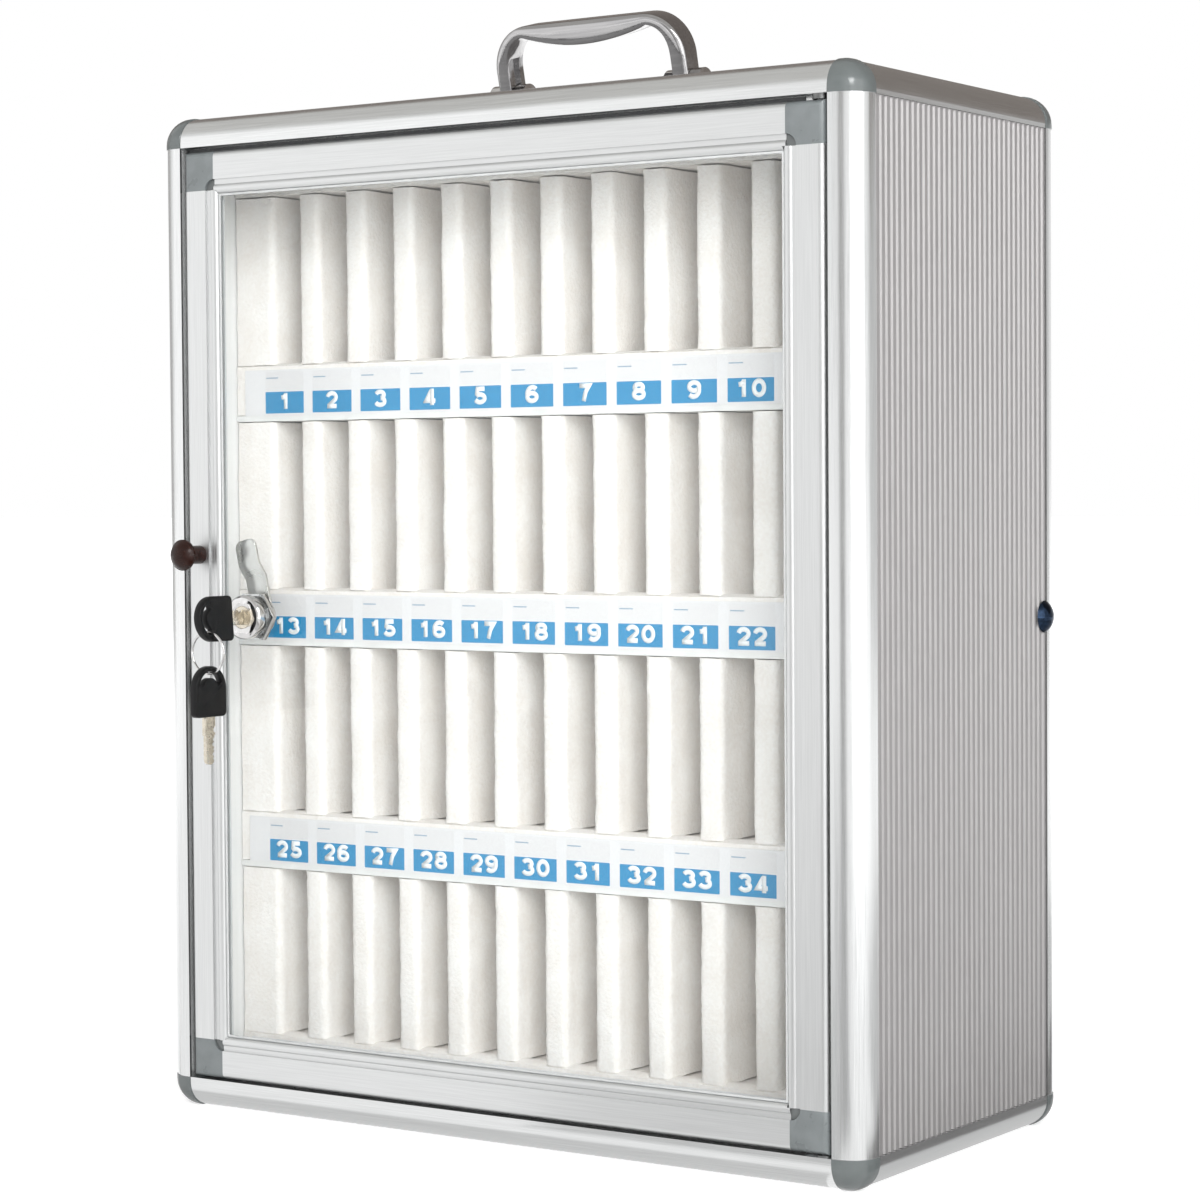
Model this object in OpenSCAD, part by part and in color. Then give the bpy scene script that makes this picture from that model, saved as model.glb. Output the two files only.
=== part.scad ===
// Phone locker box: an aluminium-edged case with a glazed, locking door, a carrying handle
// and four tiers of foam slots that each hold twelve phones.
// The origin is the middle of the case's underside: +X right, +Y back, +Z up, door at the front.

/* [Case] */
// Outside width over the edge profiles
case_w = 405; // [390:1:460]
// Outside depth over the edge profiles
case_d = 200; // [185:1:260]
// Outside height over the edge profiles
case_h = 500; // [492:1:560]

/* [Edge profiles] */
// Width of each leg of the quarter-round profile
edge_leg = 15.5; // [15.2:0.1:16.5]
// Outer radius of the quarter-round face
edge_r = 13.5; // [12.5:0.1:14.5]
// Wall thickness of the profile
edge_wall = 1.3; // [1.1:0.05:1.4]
// Outer size of the hollow core that takes the corner pegs
edge_core = 10.6; // [10.2:0.1:11]
// How far the door stop lip reaches past the leg
stop_reach = 6; // [5:0.5:7]
// How far the corner caps stand proud of the profiles
cap_proud = 0.5; // [0.3:0.1:0.8]
// Length of the pegs that hold the corner caps in the profiles
peg_len = 14; // [8:1:20]
// Play between a peg and the core's walls
peg_play = 0.2; // [0.1:0.05:0.4]

/* [Panels] */
// Thickness of the sheet panels
sheet_t = 3; // [2.4:0.1:3.2]
// Play on either side of a sheet in its slot
sheet_play = 0.1; // [0.05:0.01:0.2]
// Play between a sheet's edge and the bottom of its slot
sheet_edge_play = 1.7; // [1.7:0.1:2.5]
// Play between a sheet and the corner caps
sheet_cap_play = 0.2; // [0.1:0.05:0.4]
// Spacing of the ribs on the side panels
rib_pitch = 5; // [4:0.5:8]
// Width of a rib at its foot
rib_foot = 3; // [2:0.1:3.6]
// Width of a rib at its crest
rib_crest = 1.6; // [1:0.1:2]
// Height of a rib above the panel
rib_h = 0.9; // [0.5:0.1:1.1]

/* [Foam insert] */
// Phone slots in each tier
columns = 12; // [8:1:12]
// Spacing of the slots
column_pitch = 30; // [26:0.5:31]
// Width of a slot
slot_w = 15; // [12:0.5:19]
// Thickness of the foam slab under a tier
slab_t = 25.5; // [20:0.5:32]
// Thickness of the foam slab over the top tier
head_slab_t = 31.5; // [24:0.5:40]
// Thickness of the shelf over a tier
shelf_t = 3; // [2:0.1:4]
// Distance from the front of the case to the front of the foam
foam_setback = 54.6; // [50:0.1:62]
// Radius of the front edges of the foam dividers
foam_edge_r = 4.5; // [2:0.5:6]
// Play between the foam and the case
foam_play = 0.3; // [0.2:0.1:1]

/* [Label strips] */
// Height of a label strip
label_h = 23.5; // [18:0.5:24]
// How far a strip's top lies under the slot floor
label_drop = 2; // [1:0.5:4]
// Distance from the end of a strip to the side of the foam
label_inset = 6.1; // [1:0.1:10]
// Thickness of a strip
label_t = 0.5; // [0.3:0.1:1]

/* [Door] */
// Gap between the door and each post
door_side_gap = 2; // [1.5:0.1:2.5]
// Gap over the door
door_top_gap = 2.5; // [1.5:0.1:3]
// Gap under the door
door_bottom_gap = 1; // [0.8:0.1:2]
// How far the door lies behind the front of the case
door_setback = 0.2; // [0:0.1:0.4]
// Thickness of the door frame
door_t = 6.8; // [6.6:0.1:7.2]
// Gap between the closed door and its stop lips
door_stop_gap = 0.5; // [0.4:0.1:1]
// Width of the frame bars
bar_w = 21.2; // [20:0.1:24]
// Width of the glazing bead along a bar's inner edge
bead_w = 5; // [4:0.1:5.4]
// Width of the groove between the flat and the bead
groove_w = 2.1; // [1:0.1:2.6]
// Depth of that groove
groove_d = 1.2; // [0.6:0.1:1.4]
// How far the bead's crest lies under the flat
bead_drop = 0.2; // [0.1:0.1:0.4]
// Wall thickness of the frame bars
bar_wall = 1; // [0.8:0.1:1.2]
// Side of the square corner pieces
corner_w = 19.5; // [18.5:0.1:20.5]
// Radius of the notch in a corner piece's inner corner
notch_r = 5.5; // [4:0.1:6]
// Thickness of the clear sheet
glass_t = 3; // [2.8:0.1:3]
// Play on either side of the clear sheet
glass_play = 0.05; // [0.05:0.01:0.1]
// How deep the clear sheet sits in the bars
glass_bite = 9.2; // [7:0.1:10]

/* [Door hinge] */
// Diameter of the hinge pins
pin_d = 3; // [2.4:0.1:3.2]
// Radial play of the hinge pins and of the handle's pins
pin_play = 0.06; // [0.03:0.01:0.08]
// Length of a hinge pin inside the door corner
pin_hold = 15; // [10:0.5:17]
// Diameter of the hinge washers
washer_d = 7.2; // [6.6:0.1:7.2]
// Play between a washer and the door
washer_play = 0.1; // [0.05:0.05:0.3]

/* [Door knob] */
// Height of the knob above the ground
knob_z = 280.5; // [260:0.5:320]
// Distance from the door's edge to the knob's axis
knob_inset = 8; // [7.7:0.1:9]
// Diameter of the knob's head
knob_d = 15.5; // [13:0.5:16]
// Thickness of the knob's head
knob_head_t = 7; // [5:0.5:8]
// Diameter of the knob's stem
knob_stem_d = 9.2; // [7:0.1:10]
// Length of the knob's stem
knob_stem_l = 10.5; // [8:0.5:14]
// Diameter of the knob's screw
knob_screw_d = 3.5; // [3:0.1:4]

/* [Lock] */
// Height of the lock above the ground
lock_z = 249.5; // [235:0.5:265]
// Distance from the door's edge to the lock's axis
lock_inset = 37.4; // [35:0.1:40]
// Diameter of the lock's collar
collar_d = 22; // [20:0.5:24]
// How far the collar stands out of the clear sheet
collar_h = 5.3; // [4:0.1:6]
// Diameter of the lock's threaded barrel
barrel_d = 18; // [16:0.5:19]
// Width across the barrel's flats
barrel_flats = 16; // [14.5:0.5:16]
// Distance from the clear sheet's front to the back of the barrel
barrel_l = 10.4; // [10:0.1:12]
// Width across the flats of the lock nut
nut_flats = 23; // [21.5:0.5:24]
// Thickness of the lock nut
nut_t = 3; // [2:0.5:3.5]
// Diameter of the plug that turns in the barrel
plug_d = 11; // [10:0.1:12]
// Radial play of the plug
plug_play = 0.05; // [0.03:0.01:0.08]
// Side of the square on the plug's end
square_w = 7; // [6:0.1:7.4]

/* [Cam] */
// Distance from the lock's axis to the cam's tip
cam_reach = 39.2; // [37:0.1:41]
// Width of the cam
cam_w = 13; // [11:0.5:14]
// Thickness of the cam
cam_t = 1.6; // [1.2:0.1:1.8]
// Distance from the lock's axis to the start of the joggle
joggle_from = 20; // [17:0.5:22]
// Length of the joggle along the cam
joggle_l = 6.5; // [5:0.5:8]
// Gap between the locked cam and the lip that it grips
cam_gap = 1.4; // [1.2:0.1:1.8]
// Turn of the key from upright as it stands in the lock
key_turn = 4; // [0:1:8]
// Further turn of the cam on the plug
cam_lead = 9; // [0:1:10]

/* [Keys] */
// Length of a key's head
head_l = 25; // [23:0.5:28]
// Width of a key's head
head_w = 22.4; // [21:0.1:24]
// Thickness of a key's head
head_t = 4; // [3:0.1:5]
// Width of the rim outside the head's curved hole
head_rim = 2.6; // [2:0.1:3]
// Width of the curved hole
hole_w = 3.2; // [2.8:0.1:3.6]
// Thickness of a key's blade
blade_t = 2; // [1.6:0.1:2.2]
// Width of the blade at its shoulder
shoulder_w = 7.4; // [6.5:0.1:8]
// Length of the shoulder
shoulder_l = 9; // [7:0.5:11]
// Width of the blade in the lock
blade_w = 5.8; // [5:0.1:6.2]
// Length of the blade in the lock
blade_l = 14.5; // [12:0.5:15]
// Play of the blade in the keyway
blade_play = 0.12; // [0.05:0.01:0.2]
// Outside diameter of the key ring
ring_d = 21.6; // [20:0.1:24]
// Diameter of the ring's wire
ring_wire = 1.3; // [1:0.1:1.4]
// Gap between the ring's wire and the hole that hangs on it
ring_gap = 0.5; // [0.3:0.1:0.7]

/* [Handle] */
// Outside width of the handle
handle_w = 112; // [100:1:130]
// Height of the handle above its pivot
handle_rise = 36; // [33:1:45]
// Height of the handle's pivot above the top panel
pivot_h = 10.4; // [10.4:0.1:13]
// Outer radius of the handle's shoulders
shoulder_r = 22; // [18:1:26]
// Width of a leg, seen from the front
leg_w = 8; // [7:0.5:10]
// Depth of a leg, front to back
leg_d = 14.5; // [13:0.5:15]
// Depth of the grip at its middle
grip_d = 20; // [17:0.5:20]
// Thickness of the grip at its ends
grip_end_t = 5.3; // [4.5:0.1:6]
// How far the grip's belly swells below that
grip_belly = 3.4; // [2:0.1:4.5]
// Wall thickness of the open legs
leg_wall = 1.8; // [1.4:0.1:2.2]
// How far the handle leans forward as it stands
handle_lean = 14; // [0:1:20]
// Thickness of each lug of a handle bracket
lug_t = 6; // [4:0.5:8]
// Play between a leg and the lugs
lug_play = 0.3; // [0.2:0.1:0.5]
// Thickness of a bracket's foot plate
foot_t = 2.5; // [2:0.1:2.6]
// Depth of a foot plate, front to back
foot_d = 22; // [18:1:26]
// How far a foot plate reaches past the lugs
foot_over = 6; // [6:0.5:9]
// Diameter of the handle's pins
handle_pin_d = 4; // [3:0.1:4.4]
// Diameter of the handle rivets
rivet_d = 3.2; // [2.4:0.1:3.4]

/* [Side stud] */
// Diameter of the domed stud on the right side
stud_d = 15.5; // [12:0.5:16]
// Height of the dome
stud_h = 4; // [3:0.5:6]
// Height of the stud above the ground
stud_z = 249; // [230:1:270]
// Distance from the back of the case to the stud's axis
stud_inset = 18; // [18:0.1:24]
// Diameter of the stud's shank
stud_shank_d = 4.6; // [3:0.1:4.8]

/* [Hidden] */
$fn = 48;

// A hair by which cuts run past the faces that they open
eps = 0.1;
tiers = 4;

// Slots in the edge profiles: one for a sheet, a wider one that the door's edge closes into
sheet_slot = sheet_t + 2 * sheet_play;
door_front_y = -case_d / 2 + door_setback;
door_back_y = door_front_y + door_t;
stop_front_y = door_back_y + door_stop_gap;
stop_back_y = stop_front_y + edge_wall;
door_slot = stop_front_y + case_d / 2 - edge_wall;
stop_tip = edge_leg + stop_reach;

// The circle that just fits in the profile's hollow core
core_in = edge_core - edge_wall;
peg_c = (core_in - (edge_r - edge_wall) + edge_r * sqrt(2)) / (1 + sqrt(2));
peg_d = 2 * (core_in - peg_c - peg_play);

// Faces of the sheets, counted inwards from the outside of the case
sheet_out = edge_wall + sheet_play;
sheet_in = sheet_out + sheet_t;
// Where the sheets end in their slots, and where their notched corners begin
sheet_edge = edge_core + sheet_edge_play;
sheet_notch = edge_leg + sheet_cap_play;

// The foam fills the case between the sheets, clear of the edge profiles
foam_half = case_w / 2 - sheet_in - foam_play;
foam_half_low = case_w / 2 - edge_leg - foam_play;
foam_front_y = -case_d / 2 + foam_setback;
foam_back_y = case_d / 2 - sheet_in - foam_play;
foam_side_back_y = case_d / 2 - edge_leg - foam_play;
foam_low_z = sheet_in + foam_play;
foam_high_z = case_h - sheet_in - foam_play;
foam_wide_z = edge_leg + foam_play;
// The tiers share the height between the bottom panel and the top slab
tier_pitch = (foam_high_z - head_slab_t - sheet_in + shelf_t) / tiers;
slot_h = tier_pitch - slab_t - shelf_t;
function slot_floor(tier) = sheet_in + slab_t + (tier - 1) * tier_pitch;
function slot_ceiling(tier) = slot_floor(tier) + slot_h;
function slot_x(column) = (column - (columns - 1) / 2) * column_pitch;
label_half = foam_half - label_inset;
label_low_z = edge_wall + sheet_slot + edge_wall + foam_play;

// The door's outline, seen from the front
door_half = case_w / 2 - edge_leg - door_side_gap;
door_low_z = edge_leg + door_bottom_gap;
door_high_z = case_h - edge_leg - door_top_gap;
door_edge_r = door_t / 2 - 0.2;
glass_front = (door_t - bar_wall) - glass_t - 2 * glass_play;
glass_front_y = door_front_y + glass_front + glass_play;
glass_back_y = glass_front_y + glass_t;
glass_half = door_half - bar_w + glass_bite;

// The hinge axis lies in the middle of the door's thickness
hinge_inset = door_t / 2;
hinge_x = door_half - hinge_inset;
hinge_y = door_front_y + door_t / 2;
hinge_block_t = edge_leg - edge_core - sheet_play;
hinge_block_l = 14;

// The lock, from front to back
lock_x = -door_half + lock_inset;
collar_y = glass_front_y - collar_h;
plug_front_y = collar_y + 0.2;
barrel_back_y = glass_front_y + barrel_l;
cam_tip_y = stop_back_y + cam_gap;
cam_root_y = barrel_back_y + 0.3;
cam_screw_t = 2.4;
knob_x = -door_half + knob_inset;

// The keys and their ring: places are counted from the middle of a head's round end
head_face_y = plug_front_y - shoulder_l;
head_mid_y = head_face_y - head_l + head_w / 2;
hole_out_r = head_w / 2 - head_rim;
hole_in_r = hole_out_r - hole_w;
hole_mid_r = hole_out_r - hole_w / 2;
hole_half_angle = 72;
ring_seat_angle = 61;
ring_r = (ring_d - ring_wire) / 2;
ring_seat_r = hole_mid_r + 0.3;
ring_y = head_mid_y - ring_seat_r * cos(ring_seat_angle);
ring_drop = ring_seat_r * sin(ring_seat_angle);
ring_top_x = lock_x + ring_drop * sin(key_turn);
ring_top_z = lock_z - ring_drop * cos(key_turn);
ring_low_z = ring_top_z - 2 * ring_r;
spare_mid_z = ring_low_z + ring_wire / 2 + ring_gap - hole_out_r;
spare_face_z = spare_mid_z + head_w / 2 - head_l;
bow_l = 9;
bow_w = 6;

// The handle pivots over the top panel
top_face_z = case_h - sheet_out;
pivot_z = top_face_z + pivot_h;
leg_in_x = handle_w / 2 - leg_w;
lug_in_x = leg_in_x - lug_play - lug_t;
lug_out_x = handle_w / 2 + lug_play + lug_t;
lug_r = 7;
foot_mid_x = (lug_in_x + lug_out_x) / 2;
foot_half_l = (lug_out_x - lug_in_x) / 2 + foot_over;
rivet_step = foot_half_l - foot_over / 2;
rivet_head_d = 5.2;
rivet_tail_h = 2.6;

// Children, and their mirror image on the other side of the case
module both_sides() {
    children();
    mirror([1, 0, 0]) children();
}

// Children turned upside down about the case's mid height
module upside_down() {
    translate([0, 0, case_h]) mirror([0, 0, 1]) children();
}

// A square with one quarter-round corner at the origin
module round_corner(side, r) {
    intersection() {
        square(side);
        union() {
            translate([r, r]) circle(r);
            translate([r, 0]) square(side);
            translate([0, r]) square(side);
        }
    }
}

// Cross-section of an edge profile, its outer corner at the origin: the face leg runs along X
// and has a slot of the given width, whose inner lip ends at face_tip; the side leg runs along Y
// and takes a sheet.
module edge_section(face_slot, face_tip) {
    difference() {
        round_corner(edge_leg, edge_r);
        translate([edge_wall, edge_wall]) round_corner(edge_leg, edge_r - edge_wall);
    }
    intersection() {
        round_corner(edge_leg, edge_r);
        union() {
            translate([core_in, 0]) square([edge_wall, edge_core]);
            translate([0, core_in]) square([edge_core, edge_wall]);
        }
    }
    translate([edge_wall + sheet_slot, core_in]) square([edge_wall, edge_leg - core_in]);
    translate([core_in, edge_wall + face_slot]) square([face_tip - core_in, edge_wall]);
}

// A front post takes the door's edge, a rear post takes the back panel
module front_post() {
    color("silver")
    translate([-case_w / 2, -case_d / 2, edge_leg])
    linear_extrude(case_h - 2 * edge_leg) edge_section(door_slot, stop_tip);
}

module rear_post() {
    color("silver")
    mirror([0, 1, 0]) translate([-case_w / 2, -case_d / 2, edge_leg])
    linear_extrude(case_h - 2 * edge_leg) edge_section(sheet_slot, edge_leg);
}

// The front rail's stop lip is cut short at both ends, where the posts' lips pass it
module front_rail() {
    rail_half = case_w / 2 - edge_leg;
    lip_half = case_w / 2 - stop_tip - foam_play;
    color("silver")
    difference() {
        translate([-rail_half, -case_d / 2, case_h]) rotate([0, 90, 0])
            linear_extrude(2 * rail_half) edge_section(door_slot, stop_tip);
        both_sides() translate([lip_half, stop_front_y - eps, case_h - stop_tip - eps])
            cube([rail_half - lip_half + eps, edge_wall + 2 * eps, stop_reach + eps]);
    }
}

module rear_rail() {
    color("silver")
    mirror([0, 1, 0]) translate([edge_leg - case_w / 2, -case_d / 2, case_h]) rotate([0, 90, 0])
        linear_extrude(case_w - 2 * edge_leg) edge_section(sheet_slot, edge_leg);
}

module side_rail() {
    color("silver")
    translate([-case_w / 2, case_d / 2 - edge_leg, case_h]) rotate([0, 90, -90])
        linear_extrude(case_d - 2 * edge_leg) edge_section(sheet_slot, edge_leg);
}

// A moulded corner: the profiles' round carried round the corner of the case, with three pegs
module corner_cap() {
    r = edge_r + cap_proud;
    side = edge_leg + cap_proud;
    intersection() {
        translate([-cap_proud, -cap_proud, -cap_proud]) cube(side);
        union() {
            translate([edge_r, edge_r, edge_r]) sphere(r);
            translate([edge_r, edge_r, edge_r]) cylinder(h = side, r = r);
            translate([edge_r, edge_r, edge_r]) rotate([0, 90, 0]) cylinder(h = side, r = r);
            translate([edge_r, edge_r, edge_r]) rotate([-90, 0, 0]) cylinder(h = side, r = r);
            translate([edge_r, edge_r, -cap_proud]) cube(side);
            translate([-cap_proud, edge_r, edge_r]) cube(side);
            translate([edge_r, -cap_proud, edge_r]) cube(side);
        }
    }
    peg = edge_leg - 1;
    translate([peg_c, peg_c, peg]) cylinder(h = peg_len, d = peg_d);
    translate([peg, peg_c, peg_c]) rotate([0, 90, 0]) cylinder(h = peg_len, d = peg_d);
    translate([peg_c, peg, peg_c]) rotate([-90, 0, 0]) cylinder(h = peg_len, d = peg_d);
}

// The four lower caps, cut flat where the case stands on them
module corner_caps_bottom() {
    color("slategray")
    intersection() {
        translate([-case_w, -case_d, 0]) cube([2 * case_w, 2 * case_d, case_h]);
        both_sides() {
            translate([-case_w / 2, -case_d / 2, 0]) corner_cap();
            mirror([0, 1, 0]) translate([-case_w / 2, -case_d / 2, 0]) corner_cap();
        }
    }
}

module corner_caps_top() {
    color("slategray")
    upside_down() both_sides() {
        translate([-case_w / 2, -case_d / 2, 0]) corner_cap();
        mirror([0, 1, 0]) translate([-case_w / 2, -case_d / 2, 0]) corner_cap();
    }
}

// Outline of a sheet for an opening of this size between the outer faces of four profiles
module sheet_outline(width, height) {
    for (size = [[width - 2 * sheet_notch, height - 2 * sheet_edge],
            [width - 2 * sheet_edge, height - 2 * sheet_notch]])
        square(size, center = true);
}

module top_panel() {
    color("gainsboro")
    translate([0, 0, case_h - sheet_in]) linear_extrude(sheet_t) difference() {
        sheet_outline(case_w, case_d);
        for (side = [-1, 1], step = [-1, 1])
            translate([side * foot_mid_x + step * rivet_step, 0]) circle(d = rivet_d + eps);
    }
}

module bottom_panel() {
    color("gainsboro")
    translate([0, 0, sheet_out]) linear_extrude(sheet_t) sheet_outline(case_w, case_d);
}

module back_panel() {
    color("gainsboro")
    translate([0, case_d / 2 - sheet_out, case_h / 2]) rotate([90, 0, 0])
        linear_extrude(sheet_t) sheet_outline(case_w, case_h);
}

// Ribs side by side across the panel's free width, on its outer face
module ribs() {
    free_d = case_d - 2 * sheet_notch;
    count = floor((free_d - rib_foot) / rib_pitch) + 1;
    for (i = [0 : count - 1])
        translate([0, (i - (count - 1) / 2) * rib_pitch])
            polygon([[-eps, -rib_foot / 2], [rib_h, -rib_crest / 2],
                [rib_h, rib_crest / 2], [-eps, rib_foot / 2]]);
}

// The right side panel; the left one is its mirror image without the stud's hole
module side_panel() {
    color("lightgray") {
        translate([case_w / 2 - sheet_in, 0, case_h / 2]) rotate([0, 90, 0])
            linear_extrude(sheet_t) rotate(90) sheet_outline(case_d, case_h);
        translate([case_w / 2 - sheet_out, 0, sheet_notch])
            linear_extrude(case_h - 2 * sheet_notch) ribs();
    }
}

module side_panel_right() {
    color("lightgray")
    difference() {
        side_panel();
        stud_place() translate([0, 0, -edge_leg]) cylinder(h = edge_leg + eps, d = stud_shank_d + eps);
    }
}

// Plan of the foam and shelves, narrower between the rear posts
module foam_plan() {
    translate([-foam_half, foam_front_y])
        square([2 * foam_half, foam_side_back_y - foam_front_y]);
    translate([-foam_half_low, foam_front_y])
        square([2 * foam_half_low, foam_back_y - foam_front_y]);
}

// Plan of the foam beside the top and bottom rails
module foam_plan_low() {
    translate([-foam_half_low, foam_front_y])
        square([2 * foam_half_low, foam_side_back_y - foam_front_y]);
}

module foam_slab(low, high) {
    color("white")
    translate([0, 0, low]) linear_extrude(high - low) foam_plan();
}

// The lowest slab reaches down between the bottom rails
module foam_base_1() {
    foam_slab(foam_wide_z, slot_floor(1));
    color("white")
    translate([0, 0, foam_low_z]) linear_extrude(foam_wide_z - foam_low_z + eps) foam_plan_low();
}

module foam_base(tier) {
    foam_slab(slot_ceiling(tier - 1) + shelf_t, slot_floor(tier));
}

// The slab over the top tier reaches up between the top rails, hollowed under the rivets' tails
module foam_top() {
    color("white")
    difference() {
        union() {
            foam_slab(slot_ceiling(tiers), case_h - foam_wide_z);
            translate([0, 0, case_h - foam_wide_z - eps])
                linear_extrude(foam_high_z - case_h + foam_wide_z + eps) foam_plan_low();
        }
        for (side = [-1, 1], step = [-1, 1])
            translate([side * foot_mid_x + step * rivet_step, 0, foam_high_z - rivet_tail_h - foam_play])
                cylinder(h = edge_leg, d = rivet_head_d + 1);
    }
}

// One upright divider from left to right, with its front edges rounded
module divider_plan(left, right) {
    r = min(foam_edge_r, (right - left) / 2 - eps);
    depth = foam_back_y - foam_front_y;
    intersection() {
        translate([left, foam_front_y]) union() {
            translate([r, 0]) square([right - left - 2 * r, depth]);
            translate([0, r]) square([right - left, depth - r]);
            for (x = [r, right - left - r]) translate([x, r]) circle(r);
        }
        foam_plan();
    }
}

module foam_dividers(tier) {
    color("white")
    translate([0, 0, slot_floor(tier)]) linear_extrude(slot_h)
        for (i = [0 : columns])
            divider_plan(i == 0 ? -foam_half : slot_x(i - 1) + slot_w / 2,
                i == columns ? foam_half : slot_x(i) - slot_w / 2);
}

module shelves() {
    color("whitesmoke")
    for (tier = [1 : tiers - 1])
        translate([0, 0, slot_ceiling(tier)]) linear_extrude(shelf_t) foam_plan();
}

// One strip along the front of each slab, under the slots that it numbers
module label_strips() {
    color("aliceblue")
    for (tier = [1 : tiers]) {
        high = slot_floor(tier) - label_drop;
        low = max(high - label_h, label_low_z);
        translate([-label_half, foam_front_y - label_t, low])
            cube([2 * label_half, label_t, high - low]);
    }
}

// The stud's axis, pointing out of the right side
module stud_place() {
    translate([case_w / 2, case_d / 2 - stud_inset, stud_z]) rotate([0, 90, 0]) children();
}

// A dome over a flat base, as a slice of a sphere
module dome(d, h) {
    r = (d * d / 4 + h * h) / (2 * h);
    intersection() {
        translate([0, 0, h - r]) sphere(r);
        cylinder(h = h + eps, d = d + eps);
    }
}

module side_stud() {
    shank_l = sheet_in - eps;
    color("midnightblue")
    stud_place() {
        dome(stud_d, stud_h);
        translate([0, 0, -shank_l]) cylinder(h = shank_l + eps, d = stud_shank_d);
    }
}

// Bearing blocks in the front rails' door slots, one over and one under the door
module hinge_block() {
    side_play = 0.2;
    low = edge_core + sheet_play;
    color("dimgray")
    difference() {
        translate([case_w / 2 - edge_leg - side_play, -case_d / 2, 0]) rotate([0, -90, 0])
            linear_extrude(hinge_block_l) mirror([1, -1]) intersection() {
                translate([edge_wall + sheet_play, low])
                    square([door_slot - 2 * sheet_play, hinge_block_t]);
                translate([edge_wall + sheet_play, edge_wall + sheet_play])
                    round_corner(edge_leg, edge_r - edge_wall - sheet_play);
            }
        translate([hinge_x, hinge_y, low - eps]) cylinder(h = edge_leg, d = pin_d + 2 * pin_play);
    }
}

module hinge_blocks() {
    hinge_block();
    upside_down() hinge_block();
}

// Washers in the gaps over and under the door
module hinge_washer(gap) {
    color("gainsboro")
    translate([hinge_x, hinge_y, edge_leg]) difference() {
        cylinder(h = gap - washer_play, d = washer_d);
        translate([0, 0, -eps]) cylinder(h = gap, d = pin_d + 2 * pin_play);
    }
}

module hinge_washers() {
    hinge_washer(door_bottom_gap);
    upside_down() hinge_washer(door_top_gap);
}

// Pins held in the door's corner pieces, whose free ends turn in the bearing blocks
module hinge_pin(gap) {
    reach = hinge_block_t - sheet_play;
    color("gainsboro")
    translate([hinge_x, hinge_y, edge_leg - reach]) cylinder(h = reach + gap + pin_hold, d = pin_d);
}

module hinge_pins() {
    hinge_pin(door_bottom_gap);
    upside_down() hinge_pin(door_top_gap);
}

// Cross-section of a frame bar, its outer edge at X = 0 and its front face at Y = 0
module bar_outline() {
    r = door_edge_r;
    for (y = [r, door_t - r]) translate([r, y]) circle(r);
    translate([0, r]) square([r, door_t - 2 * r]);
    translate([r, 0]) square([bar_w - bead_w - groove_w - r, door_t]);
    translate([r, groove_d]) square([bar_w - bead_w / 2 - r, door_t - groove_d]);
    translate([bar_w - bead_w / 2, bead_drop + bead_w / 2]) circle(bead_w / 2);
    translate([r, bead_drop + bead_w / 2]) square([bar_w - r, door_t - bead_drop - bead_w / 2]);
}

glass_slot = glass_t + 2 * glass_play;
core_from = 2.2;
core_to = bar_w - glass_bite - bar_wall - 0.8;
core_front = 1.4;
core_d = door_t - core_front - bar_wall;

module bar_section() {
    difference() {
        bar_outline();
        translate([bar_w - glass_bite - 0.5, glass_front]) square([bar_w, glass_slot]);
        translate([core_from, core_front]) square([core_to - core_from, core_d]);
    }
}

// An upright of the door frame, between the corner pieces
module door_stile() {
    translate([-door_half, door_front_y, door_low_z + corner_w])
        linear_extrude(door_high_z - door_low_z - 2 * corner_w) bar_section();
}

module door_stile_left() {
    color("gainsboro")
    difference() {
        door_stile();
        translate([knob_x, 0, knob_z]) rotate([90, 0, 0])
            cylinder(h = case_d, d = knob_screw_d + 2 * eps);
    }
}

// The top bar of the door frame; the bottom bar is the same piece turned over
module door_rail() {
    rail_half = door_half - corner_w;
    bead_over = bar_w - corner_w;
    color("gainsboro")
    difference() {
        translate([-rail_half, door_front_y, 0]) rotate([0, 90, 0])
            linear_extrude(2 * rail_half) bar_section();
        both_sides() translate([rail_half - bead_over, door_front_y - eps, -bar_w - eps])
            cube([bead_over + eps, door_t + 2 * eps, bead_over + eps]);
    }
}

// A corner piece, its outer corner at the origin, seen from the front: the inner corner has a
// round notch down to the clear sheet, and two pegs hold the bars
module door_corner() {
    peg = [core_to - core_from - 2 * peg_play, core_d - 2 * peg_play, peg_len];
    difference() {
        intersection() {
            linear_extrude(corner_w) round_edge_slab();
            translate([corner_w, 0, 0]) rotate([0, -90, 0]) linear_extrude(corner_w) round_edge_slab();
        }
        translate([corner_w, -eps, corner_w]) rotate([-90, 0, 0])
            cylinder(h = glass_front + 2 * eps, r = notch_r);
        translate([bar_w - glass_bite - 0.5, glass_front, bar_w - glass_bite - 0.5])
            cube([bar_w, glass_slot, bar_w]);
    }
    translate([core_from + peg_play, core_front + peg_play, corner_w - eps]) cube(peg);
    translate([corner_w - eps, core_front + peg_play, core_from + peg_play]) cube([peg.z, peg.y, peg.x]);
}

// A slab as thick as the door with one rounded edge, as on the bars
module round_edge_slab() {
    r = door_edge_r;
    for (y = [r, door_t - r]) translate([r, y]) circle(r);
    translate([0, r]) square([r, door_t - 2 * r]);
    translate([r, 0]) square([corner_w - r, door_t]);
}

module door_corners() {
    color("slategray")
    difference() {
        for (flip = [0, 1]) mirror([flip, 0, 0]) translate([-door_half, door_front_y, 0]) {
            translate([0, 0, door_low_z]) door_corner();
            translate([0, 0, door_high_z]) mirror([0, 0, 1]) door_corner();
        }
        translate([hinge_x, hinge_y, door_low_z - eps]) cylinder(h = pin_hold + eps, d = pin_d);
        translate([hinge_x, hinge_y, door_high_z - pin_hold]) cylinder(h = pin_hold + eps, d = pin_d);
    }
}

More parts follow.
